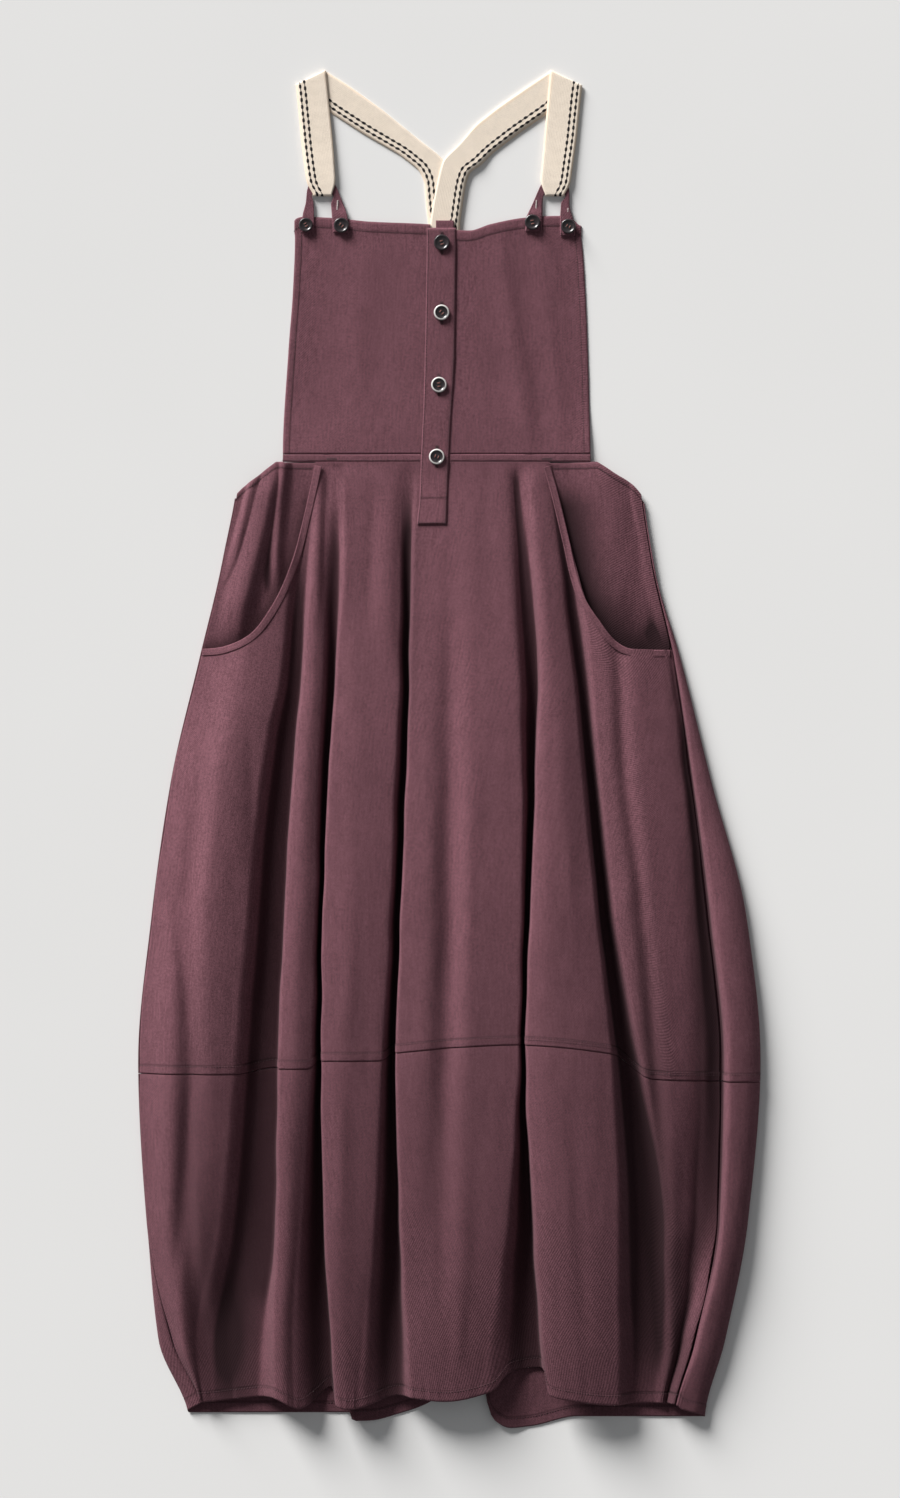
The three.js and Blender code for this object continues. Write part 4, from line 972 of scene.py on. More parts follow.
def tape_material(colours, sizes):
    """Ecru woven tape: cross ribs, a warmer selvage, and two rows of black woven dashes."""
    material, m = new_material("woven_tape")
    if m is None:
        return material
    base = linear(colours.tape)
    warm = (base[0] * 0.98, base[1] * 0.86, base[2] * 0.74, 1)
    shade = tint(base, 0.8)
    cut = m.add("ShaderNodeUVMap", uv_map="cut").outputs["UV"]
    parts = m.add("ShaderNodeSeparateXYZ", {"Vector": cut})
    across, along = parts.outputs["X"], parts.outputs["Y"]
    place = m.add("ShaderNodeTexCoord").outputs["Object"]
    fuzz = m.noise(place, 1100, 2.0, 0.6)
    cloud = m.noise(place, 90, 2.0, 0.6)
    ribs = m.math("SINE", m.math("MULTIPLY", along, 2 * math.pi / RIB_PITCH))
    cords = m.math("SINE", m.math("MULTIPLY", across, 2 * math.pi / CORD_PITCH))
    weave = m.math("MULTIPLY_ADD", ribs, 0.5, m.math("MULTIPLY", cords, 0.35))
    mottle = m.math("MULTIPLY_ADD", cloud, 0.3, m.math("MULTIPLY", fuzz, 0.7))
    mottle = m.math("MULTIPLY_ADD", weave, 0.12, mottle)
    colour = m.ramp(mottle, (0.25, shade), (0.6, base))
    near = m.math("MINIMUM", across, m.math("SUBTRACT", TAPE_WIDTH, across))
    selvage = m.level(m.math("MULTIPLY", near, 1000 / 8), (0.1, 0.4), (0.3, 0.0))
    colour = m.blend(selvage, colour, warm)
    marks = 0.0
    pitch = sizes.dash_pitch
    for k, from_edge in enumerate(DASH_ROWS):
        cell = m.math("FRACT", m.math("MULTIPLY_ADD", along, 1 / pitch, 0.35 * k))
        run = m.math("MULTIPLY", m.math("SUBTRACT", cell, 0.5), pitch)
        run = m.math("POWER", m.math("ABSOLUTE", m.math("DIVIDE", run, sizes.dash_length / 2)), 2.6)
        side = m.math("DIVIDE", m.math("SUBTRACT", across, from_edge), DASH_HALF)
        oval = m.math("ADD", run, m.math("POWER", m.math("ABSOLUTE", side), 2.2))
        oval = m.math("MULTIPLY_ADD", m.math("SUBTRACT", fuzz, 0.5), 0.9, oval)
        dash = m.level(m.math("MULTIPLY", oval, 0.5), (0.42, 1.0), (0.62, 0.0))
        link = m.level(m.math("ABSOLUTE", m.math("MULTIPLY", side, 0.5)), (0.12, 0.8), (0.3, 0.0))
        marks = m.math("MAXIMUM", marks, m.math("MAXIMUM", dash, link))
    colour = m.blend(marks, colour, DASH_BLACK)
    height = m.math("MULTIPLY_ADD", weave, 0.5, m.math("MULTIPLY", fuzz, 0.8))
    height = m.math("MULTIPLY_ADD", marks, 0.5, height)
    bump = m.bump(0.6, 0.0003, height)
    m.finish({
        "Base Color": colour,
        "Roughness": m.level(mottle, (0.2, 0.95), (0.8, 0.82)),
        "Specular IOR Level": 0.2,
        "Sheen Weight": 0.1,
        "Normal": bump,
    })
    return material


def thread_material(name, colour):
    """Twisted sewing thread."""
    material, m = new_material(name)
    if m is None:
        return material
    base = linear(colour)
    place = m.add("ShaderNodeTexCoord").outputs["Object"]
    strand = m.noise(place, 2400, 1.0, 0.5)
    colour = m.ramp(strand, (0.3, tint(base, 0.6)), (0.7, base))
    bump = m.bump(0.5, 0.0001, strand)
    m.finish({
        "Base Color": colour,
        "Roughness": m.level(strand, (0.3, 0.8), (0.7, 0.55)),
        "Normal": bump,
    })
    return material


def button_material(name, colour, rough, cloud_share):
    """Polished button blank with faint clouding and fine scratches."""
    material, m = new_material(name)
    if m is None:
        return material
    base = linear(colour)
    place = m.add("ShaderNodeTexCoord").outputs["Object"]
    cloud = m.noise(place, 260, 4.0, 0.65)
    scratch = m.noise(place, 1800, 3.0, 0.7)
    bright = (*[min(1, c * (1 + cloud_share) + 0.004) for c in base[:3]], 1)
    colour = m.ramp(cloud, (0.35, base), (0.7, bright))
    bump = m.bump(0.15, 0.0001, scratch)
    m.finish({
        "Base Color": colour,
        "Roughness": m.level(scratch, (0.3, rough), (0.7, rough + 0.12)),
        "Coat Weight": 0.4,
        "Coat Roughness": 0.12,
        "Normal": bump,
    })
    return material


# Geometry Nodes
STITCH_INPUTS = {"Pitch": 0.0028, "Length": 0.0022, "Width": 0.0005, "Unevenness": 0.12, "Turned": 0.0}


def stitch_tree():
    """Instances a stitch along every line of the mesh that it is given."""
    tree = bpy.data.node_groups.get("stitches")
    if tree:
        return tree
    tree = bpy.data.node_groups.new("stitches", "GeometryNodeTree")
    face = tree.interface
    face.new_socket("Geometry", in_out="INPUT", socket_type="NodeSocketGeometry")
    for label, default in STITCH_INPUTS.items():
        socket = face.new_socket(label, in_out="INPUT", socket_type="NodeSocketFloat")
        socket.default_value = default
    face.new_socket("Seed", in_out="INPUT", socket_type="NodeSocketInt")
    face.new_socket("Material", in_out="INPUT", socket_type="NodeSocketMaterial")
    face.new_socket("Geometry", in_out="OUTPUT", socket_type="NodeSocketGeometry")
    m = Maker(tree)
    given = m.add("NodeGroupInput").outputs
    curve = m.add("GeometryNodeMeshToCurve", {"Mesh": given["Geometry"]}).outputs["Curve"]
    even_run = m.add("GeometryNodeResampleCurve", {"Curve": curve, "Length": given["Pitch"]}, mode="LENGTH")
    half = m.math("DIVIDE", given["Length"], 2.0)
    thin = m.math("DIVIDE", given["Width"], 2.0)
    size = m.add("ShaderNodeCombineXYZ", {"X": half, "Y": thin, "Z": thin}).outputs[0]
    blank = m.add("GeometryNodeMeshUVSphere", {"Segments": 6, "Rings": 4, "Radius": 1.0}).outputs["Mesh"]
    blank = m.add("GeometryNodeTransform", {"Geometry": blank, "Scale": size}).outputs["Geometry"]
    blank = m.add("GeometryNodeSetShadeSmooth", {"Geometry": blank}).outputs["Geometry"]
    tangent = m.add("GeometryNodeInputTangent").outputs[0]
    facing = m.add("FunctionNodeAlignRotationToVector", {"Vector": tangent}, axis="X").outputs[0]
    low = m.math("SUBTRACT", 1.0, given["Unevenness"])
    high = m.math("ADD", 1.0, given["Unevenness"])

    def uneven(least, most):
        inputs = {"Min": least, "Max": most, "Seed": given["Seed"]}
        node = m.add("FunctionNodeRandomValue", inputs, data_type="FLOAT")
        return next(s for s in node.outputs if s.enabled)

    amount = uneven(low, high)
    low_turn = m.math("MULTIPLY", given["Unevenness"], -0.5)
    high_turn = m.math("MULTIPLY", given["Unevenness"], 0.5)
    swing = m.math("ADD", uneven(low_turn, high_turn), given["Turned"])
    turn = m.add("ShaderNodeCombineXYZ", {"Z": swing}).outputs[0]
    turn = m.add("FunctionNodeEulerToRotation", {"Euler": turn}).outputs[0]
    facing = m.add(
        "FunctionNodeRotateRotation", {"Rotation": facing, "Rotate By": turn}, rotation_space="LOCAL",
    ).outputs[0]
    sown = m.add("GeometryNodeInstanceOnPoints", {
        "Points": even_run.outputs["Curve"], "Instance": blank, "Rotation": facing, "Scale": amount,
    }).outputs["Instances"]
    real = m.add("GeometryNodeRealizeInstances", {"Geometry": sown}).outputs["Geometry"]
    made = m.add("GeometryNodeSetMaterial", {"Geometry": real, "Material": given["Material"]})
    m.add("NodeGroupOutput", {"Geometry": made.outputs["Geometry"]})
    return tree


def stitched(name, lines, material, values):
    """Stitches along lines of points in metres, as one plain mesh."""
    points, edges = [], []
    for line in lines:
        start = len(points)
        points += [tuple(p) for p in line]
        edges += [(start + k, start + k + 1) for k in range(len(line) - 1)]
    mesh = bpy.data.meshes.new(name + "_lines")
    mesh.from_pydata(points, edges, [])
    piece = placed(name, mesh)
    tree = stitch_tree()
    modifier = piece.modifiers.new("stitches", "NODES")
    modifier.node_group = tree
    settings = {**STITCH_INPUTS, "Material": material, **values}
    for item in tree.interface.items_tree:
        if item.item_type == "SOCKET" and item.in_out == "INPUT" and item.name in settings:
            modifier[item.identifier] = settings[item.name]
    bpy.context.view_layer.update()
    graph = bpy.context.evaluated_depsgraph_get()
    result = bpy.data.meshes.new_from_object(piece.evaluated_get(graph))
    piece.modifiers.remove(modifier)
    piece.data = result
    if not len(result.polygons):
        raise RuntimeError(f"{name} has no stitches")
    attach(piece, "root")


# Lines that the stitching follows, kept by the operators that make the panels
LINES = {"skirt": [], "hips": [], "bib": [], "placket": [], "tabs": []}


def sew(group, points, lift=STITCH_LIFT):
    """Notes a line to stitch along, without points closer than a fifth of a millimetre to the last."""
    points = np.asarray(points) + np.array([0, 0, lift * MM])
    kept = [points[0]]
    for p in points[1:]:
        if np.linalg.norm(p - kept[-1]) > 0.2 * MM:
            kept.append(p)
    LINES[group].append(kept)


# The skirt's pieces
def front_relief(drop, seam, band, arc, seed):
    from_edge = seam - drop
    near = close_to(from_edge, band + 12, 14)
    return band_profile(from_edge, band) + 0.75 * near * puckers(arc, seed)


def front_surface(columns, drop):
    """Middle points of the front, with its soft unevenness and the listed creases."""
    x, z = columns.at(drop)
    ease_in = soften(drop / 60)
    x = x + 0.9 * ease_in * noise(x / 60, drop / 38, 3)
    z = z + creased(FRONT_CREASES, x, drop)
    z = mix(bib_height(x, 0 * x), z, soften((drop - 2) / 16))
    z = z + ease_in * (0.5 * noise(x / 24, drop / 120, 5) + 0.22 * noise(x / 9, drop / 46, 8))
    return x, z


MADE = {}


def folds():
    """Front and back columns, made once."""
    if not MADE:
        sizes = bpy.context.scene.pinafore_sizes
        rounding = sizes.fold_rounding / MM
        spacing = sizes.mesh_spacing / MM
        MADE["front"] = Columns(front_stops, trough_depth, lambda k: spacing, rounding)
        MADE["back"] = Columns(
            back_stops, lambda x, drop: 0, lambda k: spacing * (1.3 if k < 4 else 3), 0.9,
        )
    return MADE["front"], MADE["back"]


def make_front(colours):
    columns, _ = folds()
    twill = twill_material(colours)
    tops = columns.meets(
        lambda x: np.where(x < 0, on_curve(LEFT_MOUTH, x), on_curve(RIGHT_MOUTH, x)),
    ) + GAP / 2
    seams = on_curve(SEAM_DROPS, columns.at(np.full(len(tops), SEAM_LEVEL))[0])
    hems = columns.meets(lambda x: on_curve(FRONT_HEM_DROPS, x))
    arc = columns.arc[int(SEAM_LEVEL / DROP_STEP)][None, :]

    drop = banded(tops, seams, UPPER_ROWS["front"], SEAM_BAND, BAND_ROWS["front"])
    x, z = front_surface(columns, drop)
    grid = to_metres(x, drop, z)
    relief = front_relief(drop, seams, SEAM_BAND, arc, 11)
    # Paler wear at the seam; painted shade along its stitching and deep in the folds
    wear_and_shade = 0.3 * close_to(seams - drop, 2.2, 2) + stitch_shade(seams - drop, SEAM_BAND)
    wear_and_shade = wear_and_shade + front_shade(x, drop, z)
    upper, outer = shell("front_skirt_upper_cloth", grid, CLOTH, relief, wear_and_shade, (3, 3))
    cloth_piece(upper, twill, "front_skirt_upper")
    sew("skirt", outer[UPPER_ROWS["front"] + 1])
    right = columns.x[int(SEAM_LEVEL / DROP_STEP)] > 70
    sew("skirt", outer[UPPER_ROWS["front"] + 3][right])

    start = seams + SEAM_GAP
    drop = banded(start, hems, LOWER_ROWS["front"], HEM_BAND, BAND_ROWS["front"])
    x, z = front_surface(columns, drop)
    grid = to_metres(x, drop, z)
    below_seam = drop - start
    relief = front_relief(drop, hems, HEM_BAND, arc, 23)
    relief = relief + 0.7 * close_to(below_seam, 16, 16) * puckers(arc, 11)
    relief = relief - 0.15 * edge_roll(below_seam)
    # Paler wear at the hem; painted shade along its stitching and deep in the folds
    wear_and_shade = 0.35 * close_to(hems - drop, 2, 1.6) + stitch_shade(hems - drop, HEM_BAND)
    wear_and_shade = wear_and_shade + front_shade(x, drop, z)
    lower, outer = shell("front_skirt_lower_cloth", grid, CLOTH, relief, wear_and_shade, (3, 3))
    cloth_piece(lower, twill, "front_skirt_lower")
    sew("skirt", outer[LOWER_ROWS["front"] + 1])


def make_back(colours):
    _, columns = folds()
    twill = twill_material(colours)
    on_top = columns.span_of < 3
    side = columns.span_of >= columns.span_of.max() - 2
    tops = columns.meets(lambda x: on_curve(HIP_TOP_DROPS, x) + BACK_SET_DOWN)
    seams = on_curve(SEAM_DROPS, columns.at(np.full(len(tops), SEAM_LEVEL))[0])
    hems = columns.meets(lambda x: on_curve(BACK_HEM_DROPS, x))
    count = len(tops)
    top_share = np.linspace(0, 1, int(on_top.sum()))
    hems[on_top] = mix(BACK_TOP_HEM[0], BACK_TOP_HEM[1], top_share)
    side_share = np.linspace(0, 1, int(side.sum()))
    hems[side] = mix(BACK_SIDE_HEM[0], BACK_SIDE_HEM[1], side_share)
    arc = columns.arc[int(SEAM_LEVEL / DROP_STEP)][None, :]
    shown = np.where(on_top, soften((12 - np.abs(np.arange(count) - 14)) / 4 + 1), 0)[None, :]

    def surface(drop):
        x, z = columns.at(drop)
        ridge = on_top * soften(np.arange(count) / 6)
        z = z + ridge * (0.4 * noise(x / 20, drop / 90, 6) + 0.2 * noise(x / 8, drop / 40, 9))
        # Painted shade deep in the folds of the side ridge
        deep = np.where(on_top, sunk(z, follow(BACK_RIDGE, drop[:, :1]), 0), 0)
        return to_metres(x, drop, z), fold_shade(deep)

    drop = banded(tops, seams, UPPER_ROWS["back"], SEAM_BAND, BAND_ROWS["back upper"])
    grid, painted_shade = surface(drop)
    relief = shown * front_relief(drop, seams, SEAM_BAND, arc, 31)
    # Painted shade in the folds and along the stitching; paler wear at the seam
    wear_and_shade = painted_shade + shown * (0.3 * close_to(seams - drop, 2.2, 2) + stitch_shade(seams - drop, SEAM_BAND))
    upper, outer = shell("back_skirt_upper_cloth", grid, CLOTH, relief, wear_and_shade, (2, 2))
    cloth_piece(upper, twill, "back_skirt_upper")
    sew("skirt", outer[UPPER_ROWS["back"] + 1][on_top][2:])

    start = seams + SEAM_GAP
    drop = banded(start, hems, LOWER_ROWS["back"], HEM_BAND, BAND_ROWS["back lower"])
    grid, painted_shade = surface(drop)
    gathers = 0.4 * soften((18 - drop + start) / 18) * puckers(arc, 31)
    relief = shown * (front_relief(drop, hems, HEM_BAND, arc, 37) + gathers)
    # Painted shade in the folds and along the stitching; paler wear at the hem
    wear_and_shade = painted_shade + 0.3 * close_to(hems - drop, 2, 1.6) + stitch_shade(hems - drop, HEM_BAND)
    lower, outer = shell("back_skirt_lower_cloth", grid, CLOTH, relief, wear_and_shade, (1, 1))
    cloth_piece(lower, twill, "back_skirt_lower")
    sew("skirt", outer[LOWER_ROWS["back"] + 1][on_top][2:])
    inside = (columns.at(np.full(count, 900.0))[1] < 9) & ~on_top & ~side
    sew("skirt", grid[LOWER_ROWS["back"] + 1][inside], CLOTH / 2 + 0.2)


def hip_height(x, drop):
    crease = np.zeros(np.broadcast(x, drop).shape)
    for (x0, y0), (x1, y1), height, widths in HIP_CREASES:
        along = (drop - y0) / (y1 - y0)
        fade = soften((along + 0.3) / 0.4) * soften((1.3 - along) / 0.5)
        offset = x - mix(x0, x1, along) - 2.5 * np.sin(along * 3 + x0)
        width = np.where(offset < 0, widths[0], widths[1])
        crease = np.maximum(crease, height * fade * bell(offset / width))
    to_waist = (HIP_TOP_HEIGHT - HIP_HEIGHT) * bell(drop / HIP_TOP_FADE)
    return HIP_HEIGHT + np.maximum(crease, to_waist)


def make_hips(colours):
    twill = twill_material(colours)
    for name, side in (("left", -1), ("right", 1)):
        seam = OUTLINE[name + "_seam"]
        shares = np.linspace(0, 1, HIP_COLUMNS) ** HIP_SPREAD

        def place(drop):
            tucked = soften((drop - TUCKED_DROPS[0]) / (TUCKED_DROPS[1] - TUCKED_DROPS[0]))
            outer_x = follow(seam, drop) - side * (GAP + TUCKED_IN * tucked)
            outer_z = mix(OUTLINE["left_seam_height"][0], HIP_HEIGHT, tucked)
            return mix(outer_x, HIP_INNER_X[name], shares), outer_z

        tops = meeting(
            lambda drop: place(drop)[0], lambda x: on_curve(HIP_TOP_DROPS, x), HIP_COLUMNS, HIP_LOWEST, 24,
        ) + GAP
        hem = HIP_BAND * np.array([0, 0.03, 0.2, 0.4, 0.6, 0.8, 1])
        down = np.concatenate([hem, HIP_BAND + BAND_SLOPE + np.linspace(0, 1, HIP_ROWS) * HIP_LENGTH])
        drop = tops + down[:, None]
        x, outer_z = place(drop)
        z = mix(outer_z, hip_height(x, drop), soften(shares * 8))
        inside = soften(shares * 5) * soften((drop - 20) / 30)
        z = z + inside * (0.35 * noise(x / 14, drop / 50, 12) + 0.2 * noise(x / 7, drop / 22, 14))
        if side > 0:
            x, drop, z = x[:, ::-1], drop[:, ::-1], z[:, ::-1]
        grid = to_metres(x, drop, z)
        from_top = down[:, None] + 0 * drop
        gathers = 0.2 * close_to(from_top, HIP_BAND + 8, 8) * puckers(x, 41)
        relief = 0.8 * band_profile(from_top, HIP_BAND) + gathers
        # Paler wear at the top edge; painted shade along its stitching
        wear_and_shade = 0.25 * close_to(from_top, 2, 1.6) + 0.7 * stitch_shade(from_top, HIP_BAND)
        mouth = np.array(LEFT_MOUTH if side < 0 else RIGHT_MOUTH, float)
        ends = np.stack([mouth[:-1], mouth[1:]])
        from_mouth = np.full(x.shape, 1e3)
        for share in np.linspace(0, 1, 12):
            for px, py in mix(ends[0], ends[1], share):
                from_mouth = np.minimum(from_mouth, np.hypot(x - px, drop - py))
        # Painted shadow that the pocket binding casts on the hip panel, and painted shade in the hip's
        # creases
        under, reach = POCKET_SHADE[name]
        wear_and_shade = wear_and_shade - under * bell(from_mouth / reach) * soften((drop - 8) / 40)
        wear_and_shade = wear_and_shade + fold_shade(sunk(z - 1.4, 0, 0, 24))
        piece, outer = shell(f"hip_panel_{name}_cloth", grid, CLOTH, relief, wear_and_shade, (2, 2))
        cloth_piece(piece, twill, f"hip_panel_{name}")
        sew("hips", outer[6])


def resampled(curve, count, run):
    """Even points and their directions along a smooth curve through the given ones."""
    points = np.array(curve, float)
    hop = np.linalg.norm(np.diff(points, axis=0), axis=1) ** 0.5
    knots = np.concatenate([[0], np.cumsum(hop)])
    fine = np.linspace(0, knots[-1], 1200)
    extended = np.vstack([2 * points[0] - points[1], points, 2 * points[-1] - points[-2]])
    before = np.concatenate([[-hop[0]], knots, [knots[-1] + hop[-1]]])
    k = np.clip(np.searchsorted(knots, fine, side="right") - 1, 0, len(points) - 2) + 1
    t0, t1, t2, t3 = (before[k + d][:, None] for d in (-1, 0, 1, 2))
    p0, p1, p2, p3 = (extended[k + d] for d in (-1, 0, 1, 2))
    t = fine[:, None]
    a1 = (t1 - t) / (t1 - t0) * p0 + (t - t0) / (t1 - t0) * p1
    a2 = (t2 - t) / (t2 - t1) * p1 + (t - t1) / (t2 - t1) * p2
    a3 = (t3 - t) / (t3 - t2) * p2 + (t - t2) / (t3 - t2) * p3
    b1 = (t2 - t) / (t2 - t0) * a1 + (t - t0) / (t2 - t0) * a2
    b2 = (t3 - t) / (t3 - t1) * a2 + (t - t1) / (t3 - t1) * a3
    path = (t2 - t) / (t2 - t1) * b1 + (t - t1) / (t2 - t1) * b2
    arc = np.concatenate([[0], np.cumsum(np.linalg.norm(np.diff(path, axis=0), axis=1))])
    wanted = np.linspace(run[0], run[1], count) * arc[-1]
    out = np.stack([np.interp(wanted, arc, path[:, d]) for d in (0, 1)], axis=1)
    heading = np.gradient(out, axis=0)
    heading /= np.linalg.norm(heading, axis=1, keepdims=True)
    return out, heading


def make_bindings(colours):
    columns, _ = folds()
    twill = twill_material(colours)
    for name, mouth, run in (
        ("left", LEFT_MOUTH, LEFT_BINDING_RUN), ("right", RIGHT_MOUTH, RIGHT_BINDING_RUN),
    ):
        path, heading = resampled(mouth, BINDING_STATIONS, run)
        inward = np.stack([-heading[:, 1], heading[:, 0]], axis=1)
        shares = np.linspace(0, 1, BINDING_COLUMNS)
        offsets = mix(BINDING_EDGES[0], BINDING_EDGES[1], shares)
        x = path[:, 0][:, None] + inward[:, 0][:, None] * offsets
        drop = path[:, 1][:, None] + inward[:, 1][:, None] * offsets
        base = columns.height(x, drop)
        kernel = np.ones(9) / 9
        padded = np.pad(base, ((4, 4), (0, 0)), mode="edge")
        base = np.stack([np.convolve(line, kernel, mode="valid") for line in padded.T], axis=1)
        run_length = np.arange(BINDING_STATIONS)[:, None] * 1.2
        grid = to_metres(x, drop, base + BINDING_LIFT)
        hump = 0.2 * np.sin(shares * math.pi) - 0.15 - 0.25 * bell((shares - 0.8) / 0.07)
        gathers = puckers(run_length, 51, 5) * (0.4 + 0.6 * np.abs(np.cos(shares * math.pi)))
        relief = hump + 0.22 * gathers
        # Paler wear at both edges; painted shade along a line of its stitching
        wear_and_shade = 0.35 * soften((np.abs(shares - 0.5) - 0.38) / 0.12) - 0.45 * bell((shares - 0.8) / 0.06)
        wear_and_shade = wear_and_shade + 0 * run_length
        piece, outer = shell(f"pocket_binding_{name}_cloth", grid, BINDING_THICKNESS, relief, wear_and_shade)
        cloth_piece(piece, twill, f"pocket_binding_{name}")
        sew("hips", outer[:, 1])
        sew("hips", outer[:, 7])


# The bib's pieces
def bib_height(x, rise):
    near_waist = soften(1 - rise / BIB_SIDE_FADE)
    high, low = BIB_MIDDLE_RISES
    middle = mix(BIB_MIDDLE_HEIGHTS[0], BIB_MIDDLE_HEIGHTS[1], soften((high - rise) / (high - low)))
    side = mix(RESTING, BIB_SIDE_HEIGHT, near_waist)
    half = np.where(x < BIB_MIDDLE_X, BIB_HALF_WIDTH["left"], BIB_HALF_WIDTH["right"])
    toward_side = soften((np.abs(x - BIB_MIDDLE_X) - BIB_FLAT) / (half - BIB_FLAT))
    wave = sum(
        w["height"] * bell((x - w["x"] - w["lean"] * (rise - BIB_WAVE_RISE)) / w["width"]) for w in BIB_WAVES
    )
    return mix(middle, side, toward_side) + wave * soften(rise / 40) * close_to(rise, 250, 60)


def bib_grid(left_at, right_at, top_at, left_hem, right_hem, body_columns):
    left_band = np.linspace(0, SIDE_HEM, 6) if left_hem else np.zeros(1)
    right_band = np.linspace(SIDE_HEM, 0, 6) if right_hem else np.zeros(1)
    hem_rows = BIB_HEM * np.array([0, 0.02, 0.16, 0.32, 0.49, 0.66, 0.83, 1])
    share = np.linspace(0, 1, BIB_ROWS)
    nominal = mix(230, BAND_HEIGHT + GAP, np.concatenate([np.zeros(8), share]))[:, None]
    left, right = left_at(nominal), right_at(nominal)
    inner_left = left + (SIDE_HEM + BAND_SLOPE if left_hem else 1.5)
    inner_right = right - (SIDE_HEM + BAND_SLOPE if right_hem else 1.5)
    body = mix(inner_left, inner_right, np.linspace(0, 1, body_columns))
    x = np.concatenate([left + left_band, body, right - right_band], axis=1)
    top = top_at(x)
    rise = np.empty_like(x)
    rise[:8] = top[:8] - hem_rows[:, None]
    rise[8:] = mix(top[8:] - BIB_HEM - BAND_SLOPE, BAND_HEIGHT + GAP, share[:, None])
    return x, rise, left, right, top


def placket_left(rise):
    return on_curve(PLACKET_LEFT_EDGE, rise)


def placket_right(rise):
    return on_curve(PLACKET_RIGHT_EDGE, rise)


# Both edges of each half, and whether they are hemmed
BIB_HALVES = [
    (
        "bib_left",
        lambda rise: on_curve(BIB_LEFT_EDGE, rise),
        lambda rise: placket_left(rise) + LEFT_UNDERLAP, True, False,
    ),
    (
        "bib_right",
        lambda rise: placket_right(rise) - RIGHT_UNDERLAP,
        lambda rise: on_curve(BIB_RIGHT_EDGE, rise), False, True,
    ),
]


def make_bib(colours):
    twill = twill_material(colours)
    make_halves(twill)
    make_stand(twill)
    make_waist_band(twill)
    make_placket(twill)


def make_halves(twill):
    for name, left_at, right_at, left_hem, right_hem in BIB_HALVES:
        x, rise, left, right, top = bib_grid(
            left_at, right_at, lambda x: on_curve(BIB_TOP_RISES, x), left_hem, right_hem, BIB_COLUMNS,
        )
        from_side = x - left if left_hem else right - x
        from_top = top - rise
        z = bib_height(x, rise) + creased(BIB_CREASES, x, -rise)
        inside = soften((from_side - 4) / 20) * soften((from_top - 6) / 20) * soften((rise - 8) / 20)
        z = z + inside * (0.3 * noise(x / 26, rise / 40, 15) + 0.16 * noise(x / 11, rise / 17, 17))
        grid = to_metres(x, -rise, z)
        relief = np.maximum(band_profile(from_top, BIB_HEM), 0.7 * band_profile(from_side, SIDE_HEM))
        relief = relief - 0.35 * edge_roll(np.minimum(from_top, from_side))
        relief = relief + 0.4 * close_to(from_top, BIB_HEM + 7, 8) * puckers(x, 61, 7)
        relief = relief + 0.35 * close_to(from_side, SIDE_HEM + 6, 7) * puckers(rise, 63, 6)
        relief = relief + 0.4 * close_to(rise, 18, 10) * puckers(x, 65, 7)
        # Paler wear at the edges; painted shade along the hems' stitching
        wear_and_shade = 0.3 * close_to(np.minimum(from_top, from_side), 1.8, 1.4)
        inner_corner = soften(from_top - BIB_HEM)
        wear_and_shade = wear_and_shade + 0.6 * stitch_shade(from_top, BIB_HEM) + 0.45 * inner_corner * stitch_shade(from_side, SIDE_HEM)
        piece, outer = shell(f"{name}_cloth", grid, CLOTH, relief, wear_and_shade, (2, 2))
        cloth_piece(piece, twill, name)
        column = 5 if left_hem else -6
        sew("bib", outer[7])
        sew("bib", outer[7:, column])


def make_stand(twill):
    x, rise, _, _, top = bib_grid(
        lambda r: placket_left(r) + LEFT_UNDERLAP + GAP + 5 * soften((r - 226) / 4),
        lambda r: placket_right(r) - STAND_INSET,
        lambda x: STAND_TOP + 0 * x, False, False, STAND_COLUMNS,
    )
    grid = to_metres(x, -rise, bib_height(x, rise))
    relief = 0.7 * band_profile(top - rise, BIB_HEM)
    wear_and_shade = 0.5 * close_to(top - rise, 1.8, 1.4)
    piece, outer = shell("button_stand_cloth", grid, CLOTH, relief, wear_and_shade, (2, 1))
    cloth_piece(piece, twill, "button_stand")
    sew("bib", outer[7])


def make_waist_band(twill):
    rows, columns = WAIST_BAND_GRID
    shares = np.linspace(0, 1, rows)
    x = mix(*WAIST_BAND_ENDS, np.linspace(0, 1, columns))[None, :] + 0 * shares[:, None]
    rise = mix(BAND_HEIGHT + 0.2, -0.05, shares)[:, None] + 0 * x
    step = 0.35 * soften((x + 105) / 1.5)
    grid = to_metres(x, -rise - 0.4 * noise(x / 45, 0.5, 71), bib_height(x, 0 * x))
    from_edge = np.minimum(shares, 1 - shares)[:, None] * (BAND_HEIGHT - GAP / 2)
    relief = 0.16 * soften(from_edge / 1.2) - 0.02 + 0.2 * step
    relief = relief + 0.16 * puckers(x, 73, 5) * close_to(from_edge, 2.6, 2)
    wear_and_shade = 0.4 * soften(1.2 - from_edge) + 0 * x
    piece, outer = shell("waist_band_cloth", grid, CLOTH, relief, wear_and_shade, (1, 2))
    cloth_piece(piece, twill, "waist_band")
    sew("bib", outer[7])


